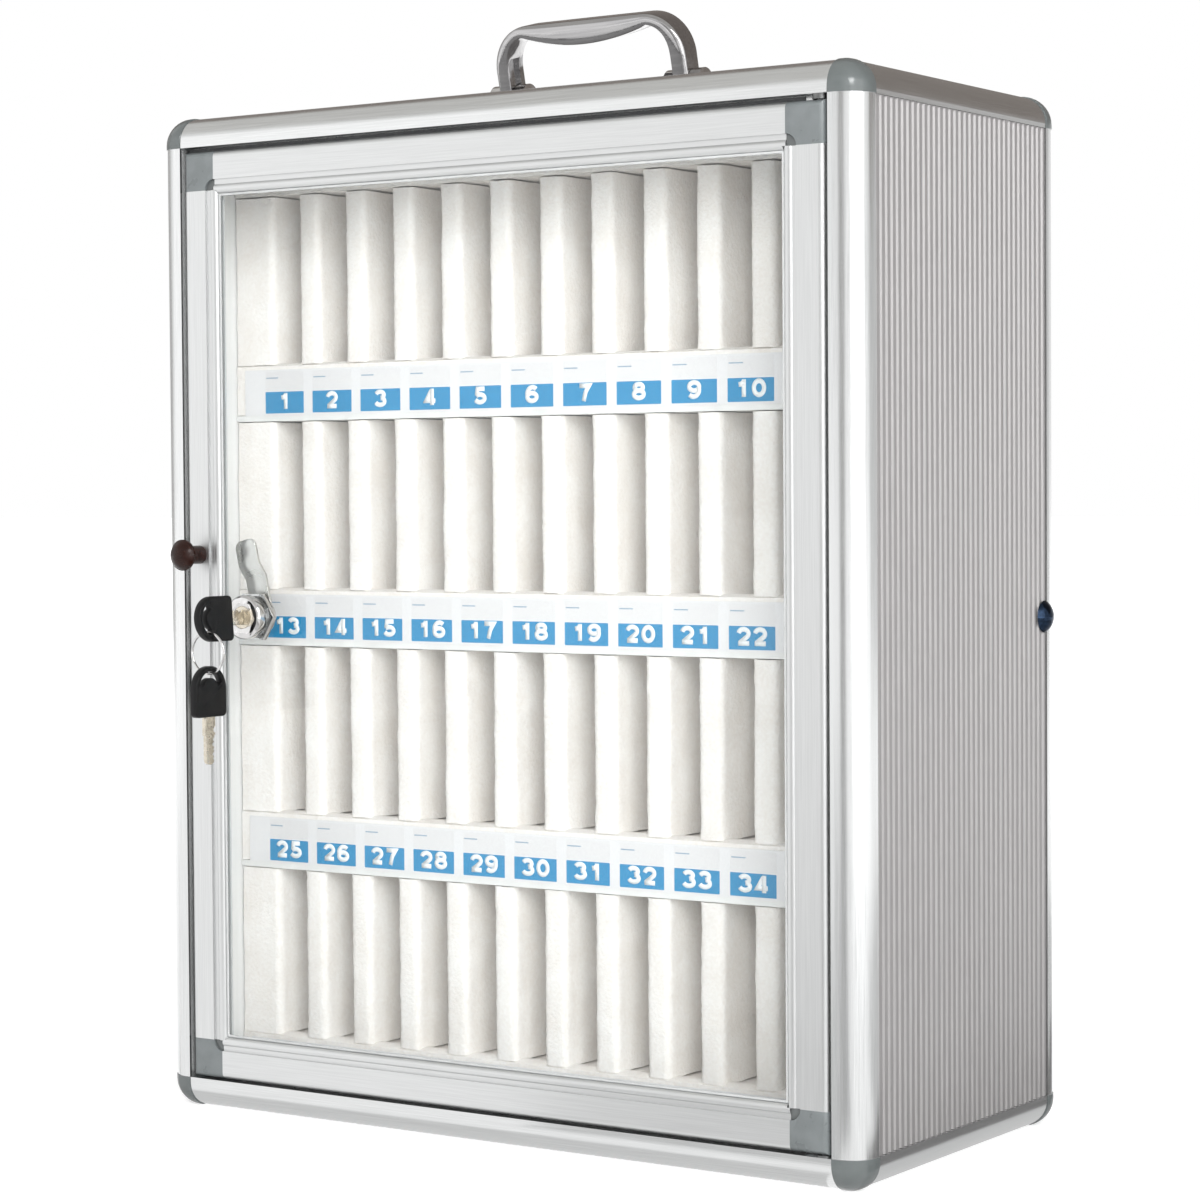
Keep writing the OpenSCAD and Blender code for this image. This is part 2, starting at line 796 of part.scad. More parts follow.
module door_glass() {
    glass_low = door_low_z + bar_w - glass_bite;
    glass_high = door_high_z - bar_w + glass_bite;
    color("lightcyan", 0.4)
    difference() {
        translate([-glass_half, glass_front_y, glass_low])
            cube([2 * glass_half, glass_t, glass_high - glass_low]);
        lock_place(glass_front_y - eps) barrel_solid(glass_t + 2 * eps, eps);
    }
}

// Children on an axis that runs back from the given depth
module lock_place(y) {
    translate([lock_x, y, lock_z]) rotate([-90, 0, 0]) children();
}

// Children turned with the plug from where they are drawn upright
module turned(angle) {
    translate([lock_x, 0, lock_z]) rotate([0, -angle, 0]) translate([-lock_x, 0, -lock_z]) children();
}

// The barrel's round with its two flats, grown by some play
module barrel_solid(h, play) {
    intersection() {
        cylinder(h = h, d = barrel_d + 2 * play);
        translate([-barrel_flats / 2 - play, -barrel_d, 0]) cube([barrel_flats + 2 * play, 2 * barrel_d, h]);
    }
}

// Collar and barrel in one piece, bored for the plug
module lock_body() {
    rim = 1.2;
    color("silver")
    difference() {
        union() {
            lock_place(collar_y) cylinder(h = rim, d1 = collar_d - 2 * rim, d2 = collar_d);
            lock_place(collar_y + rim) cylinder(h = collar_h - rim, d = collar_d);
            lock_place(glass_front_y - eps) barrel_solid(barrel_l + eps, 0);
        }
        lock_place(collar_y - eps) cylinder(h = collar_h + barrel_l + 2 * eps, d = plug_d + 2 * plug_play);
    }
}

module lock_nut() {
    color("silver")
    lock_place(glass_back_y) difference() {
        cylinder(h = nut_t, d = nut_flats / cos(30), $fn = 6);
        translate([0, 0, -eps]) barrel_solid(nut_t + 2 * eps, eps);
    }
}

// The plug: keyway in front, a square for the cam behind
module lock_plug() {
    plug_back_y = barrel_back_y + 0.1;
    keyway_t = blade_t + 2 * blade_play;
    keyway_w = blade_w + 2 * blade_play;
    color("tan")
    turned(key_turn) {
        difference() {
            lock_place(plug_front_y) cylinder(h = plug_back_y - plug_front_y, d = plug_d);
            translate([lock_x - keyway_t / 2, plug_front_y - eps, lock_z - keyway_w / 2])
                cube([keyway_t, blade_l + eps + 0.5, keyway_w]);
        }
        turned(cam_lead) translate([lock_x - square_w / 2, plug_back_y - eps, lock_z - square_w / 2])
            cube([square_w, cam_root_y + cam_t - plug_back_y + eps, square_w]);
    }
}

// The cam, upright: its side view gives the joggle, its front view the outline
module cam_side() {
    step = cam_tip_y - cam_root_y;
    low = -cam_w / 2 - 1;
    polygon([[0, low], [cam_t, low], [cam_t, joggle_from + 0.6], [cam_t + step, joggle_from + joggle_l + 0.6],
        [cam_t + step, cam_reach], [step, cam_reach], [step, joggle_from + joggle_l], [0, joggle_from]]);
}

module cam_front() {
    tip_r = 4;
    half = cam_w / 2;
    circle(half + 1);
    translate([-half, 0]) square([cam_w, cam_reach - tip_r]);
    translate([-half + tip_r, 0]) square([cam_w - 2 * tip_r, cam_reach]);
    for (x = [-half + tip_r, half - tip_r]) translate([x, cam_reach - tip_r]) circle(tip_r);
}

module lock_cam() {
    color("lightsteelblue")
    turned(key_turn + cam_lead) difference() {
        intersection() {
            translate([lock_x - cam_w, cam_root_y, lock_z]) rotate([90, 0, 90])
                linear_extrude(2 * cam_w) cam_side();
            translate([lock_x, case_d / 2, lock_z]) rotate([90, 0, 0])
                linear_extrude(case_d) cam_front();
        }
        translate([lock_x - square_w / 2 - eps, cam_root_y - eps, lock_z - square_w / 2 - eps])
            cube([square_w + 2 * eps, cam_t + 2 * eps, square_w + 2 * eps]);
    }
}

module cam_screw() {
    color("silver")
    turned(key_turn + cam_lead) {
        lock_place(cam_root_y + cam_t) cylinder(h = 0.8, d = square_w * sqrt(2) + 1);
        lock_place(cam_root_y + cam_t + 0.8 - eps) cylinder(h = cam_screw_t - 0.8 + eps, d = 8, $fn = 6);
    }
}

// Half section of the mushroom knob, its axis along Y
module knob_section() {
    rim = 1;
    flare = 1.5;
    base = knob_stem_l + flare + rim;
    crown = knob_head_t - flare - rim;
    crown_half = knob_d / 2 - 0.2;
    crown_r = (crown_half * crown_half + crown * crown) / (2 * crown);
    difference() {
        union() {
            square([knob_stem_d / 2, knob_stem_l + eps]);
            polygon([[0, knob_stem_l], [knob_stem_d / 2 + 0.5, knob_stem_l], [knob_d / 2, base - rim],
                [knob_d / 2, base], [0, base]]);
            intersection() {
                translate([0, base + crown - crown_r]) circle(crown_r, $fn = 96);
                translate([0, base - eps]) square([crown_half, crown + 2 * eps]);
            }
        }
        translate([-eps, -eps]) square([knob_screw_d / 2 + 1.5 * eps, knob_stem_l]);
    }
}

module door_knob() {
    color("saddlebrown")
    translate([knob_x, door_front_y, knob_z]) rotate([90, 0, 0]) rotate_extrude() knob_section();
}

module knob_screw() {
    head_t_back = 1.5;
    color("gray")
    translate([knob_x, door_back_y, knob_z]) {
        rotate([-90, 0, 0]) cylinder(h = head_t_back, d = 2 * knob_screw_d);
        rotate([90, 0, 0]) cylinder(h = door_t + knob_stem_l - 2, d = knob_screw_d);
    }
}

// A key head seen flat: round at the far end, with a curved hole that follows the round
module head_outline() {
    half = head_w / 2;
    corner = 2.5;
    mid = head_l - half;
    difference() {
        union() {
            translate([mid, 0]) circle(half);
            translate([corner, -half]) square([mid - corner, head_w]);
            translate([0, corner - half]) square([mid, head_w - 2 * corner]);
            for (w = [corner - half, half - corner]) translate([corner, w]) circle(corner);
        }
        translate([mid, 0]) intersection() {
            difference() {
                circle(hole_out_r);
                circle(hole_in_r);
            }
            reach = 2 * head_w;
            polygon([[0, 0], reach * [cos(hole_half_angle), sin(hole_half_angle)], [reach, 0],
                reach * [cos(hole_half_angle), -sin(hole_half_angle)]]);
        }
    }
}

// The pocket in a head that the blade's bow fills
module bow_pocket() {
    translate([-eps, -bow_w / 2]) square([bow_l + eps, bow_w]);
}

// A blade seen flat: bow in the head, shoulder with its notch, then the cut blade and its tip
cuts = [[2.2, 1.1], [4.6, 1.6], [7, 0.8], [9.4, 1.5], [11.6, 1]];
module blade_outline() {
    half = blade_w / 2;
    difference() {
        union() {
            translate([-bow_l, -bow_w / 2]) square([bow_l + eps, bow_w]);
            translate([0, -shoulder_w / 2]) square([shoulder_l, shoulder_w]);
            translate([shoulder_l - eps, -half]) square([blade_l - half + eps, blade_w]);
            translate([shoulder_l + blade_l - half, 0]) circle(half);
        }
        translate([shoulder_l - 2.6, shoulder_w / 2]) circle(1.4);
        for (cut = cuts) translate([shoulder_l + cut.x, half])
            polygon([[-cut.y, eps], [-0.3, -cut.y], [0.3, -cut.y], [cut.y, eps]]);
    }
}

// A flat piece of the key in the lock: it lies upright, front to back
module key_in_lock(thick) {
    turned(key_turn) translate([lock_x - thick / 2, head_face_y, lock_z])
        rotate([90, 0, 90]) linear_extrude(thick) children();
}

// A flat piece of the spare key: it hangs from the ring with its blade down
module key_on_ring(thick) {
    translate([ring_top_x - thick / 2, ring_y, spare_face_z]) rotate([0, 90, 0])
        linear_extrude(thick) children();
}

module key_blade() {
    color("tan") key_in_lock(blade_t) blade_outline();
}

module key_head() {
    color("black") difference() {
        key_in_lock(head_t) mirror([1, 0]) head_outline();
        key_in_lock(blade_t) mirror([1, 0]) bow_pocket();
    }
}

module spare_key_blade() {
    color("tan") key_on_ring(blade_t) blade_outline();
}

module spare_key_head() {
    color("black") difference() {
        key_on_ring(head_t) mirror([1, 0]) head_outline();
        key_on_ring(blade_t) mirror([1, 0]) bow_pocket();
    }
}

module key_ring() {
    color("silver")
    translate([ring_top_x, ring_y, ring_top_z - ring_r]) rotate([90, 0, 0])
        rotate_extrude() translate([ring_r, 0]) circle(d = ring_wire);
}

// The handle's front view: legs, shoulders and grip, its pivot at the origin
module handle_outer(inset) {
    half = handle_w / 2 - inset;
    top = handle_rise - inset;
    r = shoulder_r - inset;
    for (side = [-1, 1]) translate([side * (half - r), top - r]) circle(r);
    translate([-half, 0]) square([2 * half, top - r]);
    translate([r - half, 0]) square([2 * (half - r), top]);
}

module finger_opening() {
    r = shoulder_r - leg_w / 2;
    top = handle_rise - grip_end_t;
    half = leg_in_x;
    span = half - r / 2;
    belly_r = (span * span + grip_belly * grip_belly) / (2 * grip_belly);
    difference() {
        union() {
            for (side = [-1, 1]) translate([side * (half - r), top - r]) circle(r);
            translate([-half, -eps]) square([2 * half, top - r + eps]);
            translate([r - half, -eps]) square([2 * (half - r), top + eps]);
        }
        translate([0, top - grip_belly + belly_r]) circle(belly_r, $fn = 360);
    }
}

// Plan of the handle: widest at the middle of the grip, as deep as the legs at its ends
module handle_plan() {
    taper = (grip_d - leg_d) / 2;
    reach = handle_w / 2 - leg_w / 2;
    big_r = (reach * reach + taper * taper) / (2 * taper);
    intersection_for (side = [-1, 1]) translate([0, side * (big_r - grip_d / 2)]) circle(big_r, $fn = 720);
}

module handle_at_rest() {
    translate([0, 0, pivot_z]) rotate([handle_lean, 0, 0]) children();
}

module handle() {
    foot_top = 7;
    pocket_d = leg_d - 2 * leg_wall;
    color("silver")
    handle_at_rest() difference() {
        union() {
            intersection() {
                rotate([90, 0, 0]) linear_extrude(2 * grip_d, center = true) difference() {
                    handle_outer(0);
                    finger_opening();
                }
                linear_extrude(handle_rise) handle_plan();
            }
            both_sides() translate([leg_in_x, 0, 0]) rotate([0, 90, 0])
                cylinder(h = leg_w, d = leg_d - 0.2);
        }
        both_sides() intersection() {
            rotate([90, 0, 0]) linear_extrude(pocket_d, center = true) handle_outer(leg_wall);
            translate([leg_in_x - leg_w, -pocket_d, foot_top]) cube([3 * leg_w, 2 * pocket_d, handle_rise]);
        }
        both_sides() translate([leg_in_x - eps, 0, 0]) rotate([0, 90, 0])
            cylinder(h = leg_w + 2 * eps, d = handle_pin_d + 2 * pin_play);
    }
}

// A bracket: a foot plate with two lugs that carry the handle's pin
module handle_bracket() {
    corner = 3;
    translate([foot_mid_x, 0, top_face_z]) linear_extrude(foot_t) difference() {
        union() {
            square([2 * foot_half_l, foot_d - 2 * corner], center = true);
            square([2 * foot_half_l - 2 * corner, foot_d], center = true);
            for (x = [-1, 1], y = [-1, 1])
                translate([x * (foot_half_l - corner), y * (foot_d / 2 - corner)]) circle(corner);
        }
        for (step = [-1, 1]) translate([step * rivet_step, 0]) circle(d = rivet_d + eps);
    }
    for (x = [lug_in_x, lug_out_x - lug_t])
        translate([x, 0, pivot_z]) rotate([90, 0, 90]) linear_extrude(lug_t) difference() {
            union() {
                circle(lug_r);
                translate([-lug_r, foot_t - pivot_h - eps]) square([2 * lug_r, pivot_h - foot_t + eps]);
            }
            circle(d = handle_pin_d);
        }
}

module handle_brackets() {
    color("silver") both_sides() handle_bracket();
}

module handle_pins() {
    color("gray")
    both_sides() translate([lug_in_x, 0, pivot_z]) rotate([0, 90, 0])
        cylinder(h = lug_out_x - lug_in_x, d = handle_pin_d);
}

// Blind rivets: a head on the foot plate and a tail under the top panel
module handle_rivets() {
    grip = foot_t + sheet_t;
    color("gainsboro")
    both_sides() for (step = [-1, 1])
        translate([foot_mid_x + step * rivet_step, 0, top_face_z + foot_t]) {
            dome(rivet_head_d, 1.2);
            translate([0, 0, -grip - eps]) cylinder(h = grip + 2 * eps, d = rivet_d);
            translate([0, 0, -grip - rivet_tail_h]) cylinder(h = rivet_tail_h, d = rivet_head_d);
        }
}

front_post();  // post_front_left
mirror([1, 0, 0]) front_post();  // post_front_right
rear_post();  // post_rear_left
mirror([1, 0, 0]) rear_post();  // post_rear_right
front_rail();  // rail_top_front
rear_rail();  // rail_top_rear
side_rail();  // rail_top_left
mirror([1, 0, 0]) side_rail();  // rail_top_right
upside_down() front_rail();  // rail_bottom_front
upside_down() rear_rail();  // rail_bottom_rear
upside_down() side_rail();  // rail_bottom_left
upside_down() mirror([1, 0, 0]) side_rail();  // rail_bottom_right
corner_caps_top();
corner_caps_bottom();
mirror([1, 0, 0]) side_panel();  // side_panel_left
side_panel_right();
top_panel();
bottom_panel();
back_panel();
shelves();
foam_base_1();
foam_base(2);  // foam_base_2
foam_base(3);  // foam_base_3
foam_base(4);  // foam_base_4
foam_dividers(1);  // foam_dividers_1
foam_dividers(2);  // foam_dividers_2
foam_dividers(3);  // foam_dividers_3
foam_dividers(4);  // foam_dividers_4
foam_top();
label_strips();
side_stud();
hinge_blocks();
hinge_washers();
handle_brackets();
handle_pins();
handle_rivets();
door_stile_left();
color("gainsboro") mirror([1, 0, 0]) door_stile();  // door_stile_right
translate([0, 0, door_high_z]) door_rail();  // door_rail_top
translate([0, 0, door_low_z]) mirror([0, 0, 1]) door_rail();  // door_rail_bottom
door_corners();
door_glass();
hinge_pins();
door_knob();
knob_screw();
lock_body();
lock_nut();
lock_plug();
lock_cam();
cam_screw();
key_blade();
key_head();
key_ring();
spare_key_blade();
spare_key_head();
handle();
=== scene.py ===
# %% [markdown]
# # A locker box for mobile phones
#
# The box stands on a table in a classroom or a meeting room. Aluminium edge profiles and moulded
# corners hold its sheets, a clear door shows four rows of numbered slots, and white foam keeps the
# phones apart. The rigid parts come from the CAD model as they are and get their finishes here.
# What a CAD solid can't show is modelled in this script: the soft foam, the printed labels and the
# thin gasket round the clear sheet.

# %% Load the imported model
import math

import bpy
from mathutils import Matrix, Vector


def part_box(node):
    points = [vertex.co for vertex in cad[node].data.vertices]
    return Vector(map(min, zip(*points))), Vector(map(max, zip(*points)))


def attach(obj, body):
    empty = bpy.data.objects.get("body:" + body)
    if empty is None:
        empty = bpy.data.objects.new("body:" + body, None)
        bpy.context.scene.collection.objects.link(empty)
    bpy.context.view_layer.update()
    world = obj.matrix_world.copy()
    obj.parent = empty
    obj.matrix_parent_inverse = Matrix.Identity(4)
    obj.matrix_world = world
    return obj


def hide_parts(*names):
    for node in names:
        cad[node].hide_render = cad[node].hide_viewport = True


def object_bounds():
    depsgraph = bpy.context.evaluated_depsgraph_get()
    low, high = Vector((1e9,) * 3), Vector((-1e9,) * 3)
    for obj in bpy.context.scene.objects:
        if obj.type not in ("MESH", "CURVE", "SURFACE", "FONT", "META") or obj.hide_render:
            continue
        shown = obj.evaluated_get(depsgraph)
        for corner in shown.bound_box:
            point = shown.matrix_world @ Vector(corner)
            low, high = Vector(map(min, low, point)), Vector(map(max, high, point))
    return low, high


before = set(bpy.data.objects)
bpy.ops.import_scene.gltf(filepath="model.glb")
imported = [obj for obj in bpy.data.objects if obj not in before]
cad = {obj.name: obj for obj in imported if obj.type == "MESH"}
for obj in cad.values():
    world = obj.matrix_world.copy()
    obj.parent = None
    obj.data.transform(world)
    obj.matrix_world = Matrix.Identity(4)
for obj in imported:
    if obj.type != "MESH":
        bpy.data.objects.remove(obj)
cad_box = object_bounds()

MM = 0.001
print("nodes:", len(cad), "box in mm:", [[round(v / MM, 1) for v in corner] for corner in cad_box])

# %% [markdown]
# ## Camera
#
# The photographer stood 1.6 m away, to the right of the box and just above its middle. The box's own
# edges give the lens and the turn of the camera, so the matrix is written out from three angles
# instead of being aimed at a point. A long lens keeps the uprights nearly parallel.

# %% Camera
def put(name, data):
    """A new object in the scene that carries the given data."""
    thing = bpy.data.objects.new(name, data)
    bpy.context.scene.collection.objects.link(thing)
    return thing


def camera_matrix(place, turn, tilt, roll):
    """The camera's matrix from its place and three angles, all in radians; it looks along its -Z."""
    look = Vector((-math.sin(turn) * math.cos(tilt), math.cos(turn) * math.cos(tilt), math.sin(tilt)))
    level = Vector((math.cos(turn), math.sin(turn), 0))
    rise = level.cross(look)
    right = level * math.cos(roll) + rise * math.sin(roll)
    up = rise * math.cos(roll) - level * math.sin(roll)
    matrix = Matrix((right, up, -look)).transposed().to_4x4()
    matrix.translation = place
    return matrix


# Solved from the box's edges in the photograph, whose width and focal length are given in its pixels
photo_width, focal_length = 1200, 3169.63
camera_place, camera_angles = Vector((0.88029, -1.30898, 0.31071)), (0.5929, -0.0341, -0.0067)
lens_data = bpy.data.cameras.new("camera")
lens_data.sensor_fit = "HORIZONTAL"
lens_data.sensor_width = 36
lens_data.lens = focal_length / photo_width * lens_data.sensor_width
camera = put("camera", lens_data)
camera.matrix_world = camera_matrix(camera_place, *camera_angles)
bpy.context.scene.camera = camera
bpy.context.scene.view_settings.view_transform = "Standard"
print("lens in mm:", round(lens_data.lens, 1))

# %% [markdown]
# ## Colours and nodes
#
# Every finish below is a small tree of nodes. Colours are picked as they look on a screen, in sRGB,
# and one function turns them into the linear values that the renderer works with. A second function
# adds a node together with its settings and links, so that a whole pattern reads as a few lines.

# %% Helpers for finishes
def linear(code):
    """An sRGB colour such as "d9dadb" as linear RGBA."""
    parts = [int(code[i:i + 2], 16) / 255 for i in (0, 2, 4)]
    return [c / 12.92 if c <= 0.04045 else ((c + 0.055) / 1.055) ** 2.4 for c in parts] + [1.0]


def add(tree, kind, sockets=None, **settings):
    """Adds a node: settings are its properties; sockets maps inputs to values or to other outputs."""
    node = tree.nodes.new(kind)
    for name, value in settings.items():
        setattr(node, name, value)
    for name, value in (sockets or {}).items():
        if isinstance(value, bpy.types.NodeSocket):
            tree.links.new(value, node.inputs[name])
        else:
            node.inputs[name].default_value = value
    return node


def new_finish(name, **looks):
    """A material with its Principled shader's sockets set; returns it with its tree and shader."""
    material = bpy.data.materials.new(name)
    material.use_nodes = True
    shader = material.node_tree.nodes["Principled BSDF"]
    for socket, value in looks.items():
        shader.inputs[socket.replace("_", " ")].default_value = value
    return material, material.node_tree, shader


def grain(tree, size, detail=2.0, stretch=(1, 1, 1)):
    """Noise whose blobs are about size metres wide, stretched along an axis; returns its output."""
    place = add(tree, "ShaderNodeTexCoord").outputs["Object"]
    scaled = add(tree, "ShaderNodeMapping", {"Vector": place, "Scale": [1 / s for s in stretch]})
    sockets = {"Vector": scaled.outputs[0], "Scale": 1 / size, "Detail": detail}
    return add(tree, "ShaderNodeTexNoise", sockets).outputs["Fac"]


def coordinate(tree, axis):
    """The place along an axis in metres. Every piece is at the origin, so it is the frame's."""
    place = add(tree, "ShaderNodeTexCoord").outputs["Object"]
    return add(tree, "ShaderNodeSeparateXYZ", {0: place}).outputs[axis]


def between(tree, amount, low, high, spread=(0.3, 0.7)):
    """Turns a noise output into a value that runs from low to high."""
    return add(tree, "ShaderNodeMapRange", {"Value": amount, "From Min": spread[0], "From Max": spread[1],
                                            "To Min": low, "To Max": high}).outputs[0]


def two_tone(tree, amount, dark, light):
    """Mixes two sRGB colours by an output from 0 to 1."""
    colours = {"Factor": amount, 6: linear(dark), 7: linear(light)}
    return add(tree, "ShaderNodeMix", colours, data_type="RGBA").outputs[2]


def tint(tree, shader, amount, dark, light, blur=None):
    """Lets an output drive the colour from dark to light and, where blur is given, the roughness."""
    mixed = two_tone(tree, between(tree, amount, 0, 1), dark, light)
    tree.links.new(mixed, shader.inputs["Base Color"])
    if blur:
        tree.links.new(between(tree, amount, *blur), shader.inputs["Roughness"])


def relief(tree, shader, height, depth):
    """Raises the surface by depth metres where height is 1."""
    bump = add(tree, "ShaderNodeBump", {"Height": height, "Distance": depth, "Strength": 1.0})
    tree.links.new(bump.outputs[0], shader.inputs["Normal"])


def dress(piece, material):
    """Gives a piece this one finish."""
    piece.data.materials.clear()
    piece.data.materials.append(material)


def wear_finish(material, *names):
    """Puts a finish on CAD nodes."""
    for name in names:
        dress(cad[name], material)
    print(material.name, "on", len(names), "nodes")


# %% [markdown]
# ## Satin anodised aluminium
#
# The edge profiles and the door's bars are pushed through a die and then anodised. The die leaves
# very fine lines along each bar, and the oxide layer spreads a reflection into a soft band. So the
# metal is rough enough to blur, and a noise drawn out along the bar varies its roughness and tone.
# The lines must follow each bar, which needs one finish for each direction.

# %% Aluminium
die_line, die_depth, bead_start = 0.5 * MM, 0.004 * MM, -96.9 * MM


def anodised(name, along, dark="d3d4d4", light="dddede", blur=(0.2, 0.26), matte_from=None):
    """Satin anodised aluminium, die lines along an axis; behind the depth matte_from it is matte."""
    material, tree, shader = new_finish(name, Metallic=1.0)
    lines = grain(tree, die_line, 3.0, [60.0 if axis == along else 1.0 for axis in "XYZ"])
    tint(tree, shader, lines, dark, light, blur)
    relief(tree, shader, lines, die_depth)
    if matte_from is not None:
        metal = between(tree, coordinate(tree, "Y"), 1.0, 0.2, (matte_from, matte_from + 0.1 * MM))
        tree.links.new(metal, shader.inputs["Metallic"])
    return material


edge_by_axis = {axis: anodised("satin anodised aluminium " + axis.lower(), axis) for axis in "XYZ"}
# The door's bars are duller than the box's edges, and the bead behind their face is matte
bar_by_axis = {axis: anodised("satin anodised door bar " + axis.lower(), axis, "d0d1d1", "dadbdb",
                              (0.4, 0.46), bead_start) for axis in "XZ"}
wear_finish(edge_by_axis["Z"], "post_front_left", "post_front_right", "post_rear_left", "post_rear_right")
wear_finish(edge_by_axis["X"], "rail_top_front", "rail_top_rear", "rail_bottom_front", "rail_bottom_rear")
wear_finish(edge_by_axis["Y"], "rail_top_left", "rail_top_right", "rail_bottom_left", "rail_bottom_right")
wear_finish(bar_by_axis["Z"], "door_stile_left", "door_stile_right")
wear_finish(bar_by_axis["X"], "door_rail_top", "door_rail_bottom")

# %% [markdown]
# ## Moulded grey corners
#
# The corners of the case and of the door are injection-moulded ABS. The mould is polished but not
# perfectly, so the plastic is glossy with a faint waviness, and its grey has cloudy spots.

# %% Corner plastic
def moulded(name, dark, light, blur, cloud=6 * MM, ripple=0.03 * MM, grit=0.7 * MM, shine=0.5):
    """Moulded plastic: clouds in its tone, a fine ripple from the mould."""
    material, tree, shader = new_finish(name, IOR=1.52, Specular_IOR_Level=shine)
    tint(tree, shader, grain(tree, cloud, 3.0), dark, light, blur)
    relief(tree, shader, grain(tree, grit, 2.0), ripple)
    return material


corner_abs = moulded("glossy grey ABS", "5b6060", "626767", (0.14, 0.2), 9 * MM, 0.015 * MM)
door_corner_abs = moulded("glossy grey door corner ABS", "686d6e", "727778", (0.26, 0.36),
                          7 * MM, 0.02 * MM)
wear_finish(corner_abs, "corner_caps_top", "corner_caps_bottom")
wear_finish(door_corner_abs, "door_corners")

# %% [markdown]
# ## Sheets
#
# The sides are extruded ribbed sheet in a silver grey that is made to look like metal, white on the
# inside. Top, bottom and back are smooth sheet of the same kind. The inside is told from the outside
# by its place: a point nearer to the middle than the middle of the sheet is inside.

# %% Ribbed and smooth sheets
box_middle = {"X": 0, "Y": 0, "Z": 250 * MM}


def sheet_finish(name, axis, turning, dark, light, along):
    """Coated sheet, silver grey further than turning from the box's middle, and white inside that."""
    material, tree, shader = new_finish(name, IOR=1.5)
    lines = grain(tree, 0.6 * MM, 3.0, [40.0 if a == along else 1.0 for a in "XYZ"])
    outer = two_tone(tree, between(tree, lines, 0, 1), dark, light)
    middle = {0: coordinate(tree, axis), 1: box_middle[axis]}
    away = add(tree, "ShaderNodeMath", middle, operation="SUBTRACT").outputs[0]
    size = add(tree, "ShaderNodeMath", {0: away}, operation="ABSOLUTE").outputs[0]
    outside = add(tree, "ShaderNodeMath", {0: size, 1: turning}, operation="GREATER_THAN").outputs[0]
    sides = {"Factor": outside, 6: linear("f2f2f1"), 7: outer}
    colour = add(tree, "ShaderNodeMix", sides, data_type="RGBA")
    tree.links.new(colour.outputs[2], shader.inputs["Base Color"])
    tree.links.new(between(tree, outside, 0, 0.7, (0, 1)), shader.inputs["Metallic"])
    tree.links.new(between(tree, lines, 0.46, 0.56), shader.inputs["Roughness"])
    relief(tree, shader, lines, 0.015 * MM)
    return material


smooth_grey = ("b3b3b4", "bfbfc0")
ribbed = sheet_finish("ribbed silver grey sheet", "X", 198.6 * MM, "9b9999", "a7a5a5", "Z")
level_sheet = sheet_finish("smooth silver grey sheet level", "Z", 246 * MM, *smooth_grey, "X")
upright_sheet = sheet_finish("smooth silver grey sheet upright", "Y", 97 * MM, *smooth_grey, "Z")
wear_finish(ribbed, "side_panel_left", "side_panel_right")
wear_finish(level_sheet, "top_panel", "bottom_panel")
wear_finish(upright_sheet, "back_panel")
# The shelves are foamed sheet, a plain white with next to no shine
shelf_white = moulded("white foamed PVC sheet", "e4e4e2", "eeeeec", (0.5, 0.6), 12 * MM, 0.02 * MM)
wear_finish(shelf_white, "shelves")

# %% [markdown]
# ## Polished and plated metal
#
# The handle, the lock and the key ring are plated with chrome over a cast or drawn core. Chrome
# mirrors the room, and the casting under it makes the mirror swim a little. The plug and the keys'
# blades are nickel-plated brass, which is warmer, and the small fasteners are zinc-plated steel,
# which is duller. The hinge's pins and washers are phosphated grey and hardly shine, so that they
# stay quiet in the gap over the door.

# %% Plated metal
def plated(name, dark, light, blur, wave=5 * MM, ripple=0.02 * MM):
    """Plated metal: a low roughness that varies, and a gentle swimming of the mirror."""
    material, tree, shader = new_finish(name, Metallic=1.0)
    cloud = grain(tree, wave, 2.0)
    tint(tree, shader, cloud, dark, light, blur)
    relief(tree, shader, cloud, ripple)
    return material


chrome = plated("bright chrome plating", "c9c7c6", "dedcdb", (0.06, 0.12))
lock_chrome = plated("chrome plated zinc casting", "cbcac9", "dad9d9", (0.08, 0.14), 4 * MM)
zinc_steel = plated("zinc plated steel", "b9bab9", "c9cac8", (0.28, 0.38), 4 * MM, 0.01 * MM)
grey_steel = plated("grey phosphated steel", "6f7070", "808181", (0.36, 0.46), 4 * MM, 0.01 * MM)
cam_zinc = plated("bright zinc plated cam", "d9d8d4", "e6e5e2", (0.26, 0.32), 6 * MM, 0.003 * MM)
nickel = plated("nickel plated brass", "c9c1b2", "d6cfc1", (0.22, 0.3), 4 * MM, 0.003 * MM)
stud_metal = plated("dark blue chrome plating", "1d2634", "2e3d52", (0.08, 0.14), 2 * MM)
wear_finish(chrome, "handle", "handle_brackets")
wear_finish(zinc_steel, "handle_pins", "handle_rivets", "knob_screw", "cam_screw")
wear_finish(grey_steel, "hinge_pins", "hinge_washers")
wear_finish(cam_zinc, "lock_cam")
wear_finish(lock_chrome, "lock_body", "lock_nut", "key_ring")
wear_finish(nickel, "lock_plug", "key_blade", "spare_key_blade")
wear_finish(stud_metal, "side_stud")

# %% [markdown]
# ## Small mouldings
#
# The knob is a dark red-brown plastic, the key heads are black with a fine moulded texture, and the
# bearing blocks of the hinge are grey nylon.

# %% Knob, key heads, bearings
knob_red = moulded("dark red-brown bakelite", "1e0a05", "270f08", (0.24, 0.34), 5 * MM, 0.01 * MM,
                   shine=0.25)
key_black = moulded("black textured ABS", "0b0b0c", "111112", (0.36, 0.46), 3 * MM, 0.03 * MM,
                    0.5 * MM, shine=0.2)
wear_finish(knob_red, "door_knob")
wear_finish(key_black, "key_head", "spare_key_head")
wear_finish(moulded("grey nylon", "7b7f81", "8a8e90", (0.4, 0.5)), "hinge_blocks")

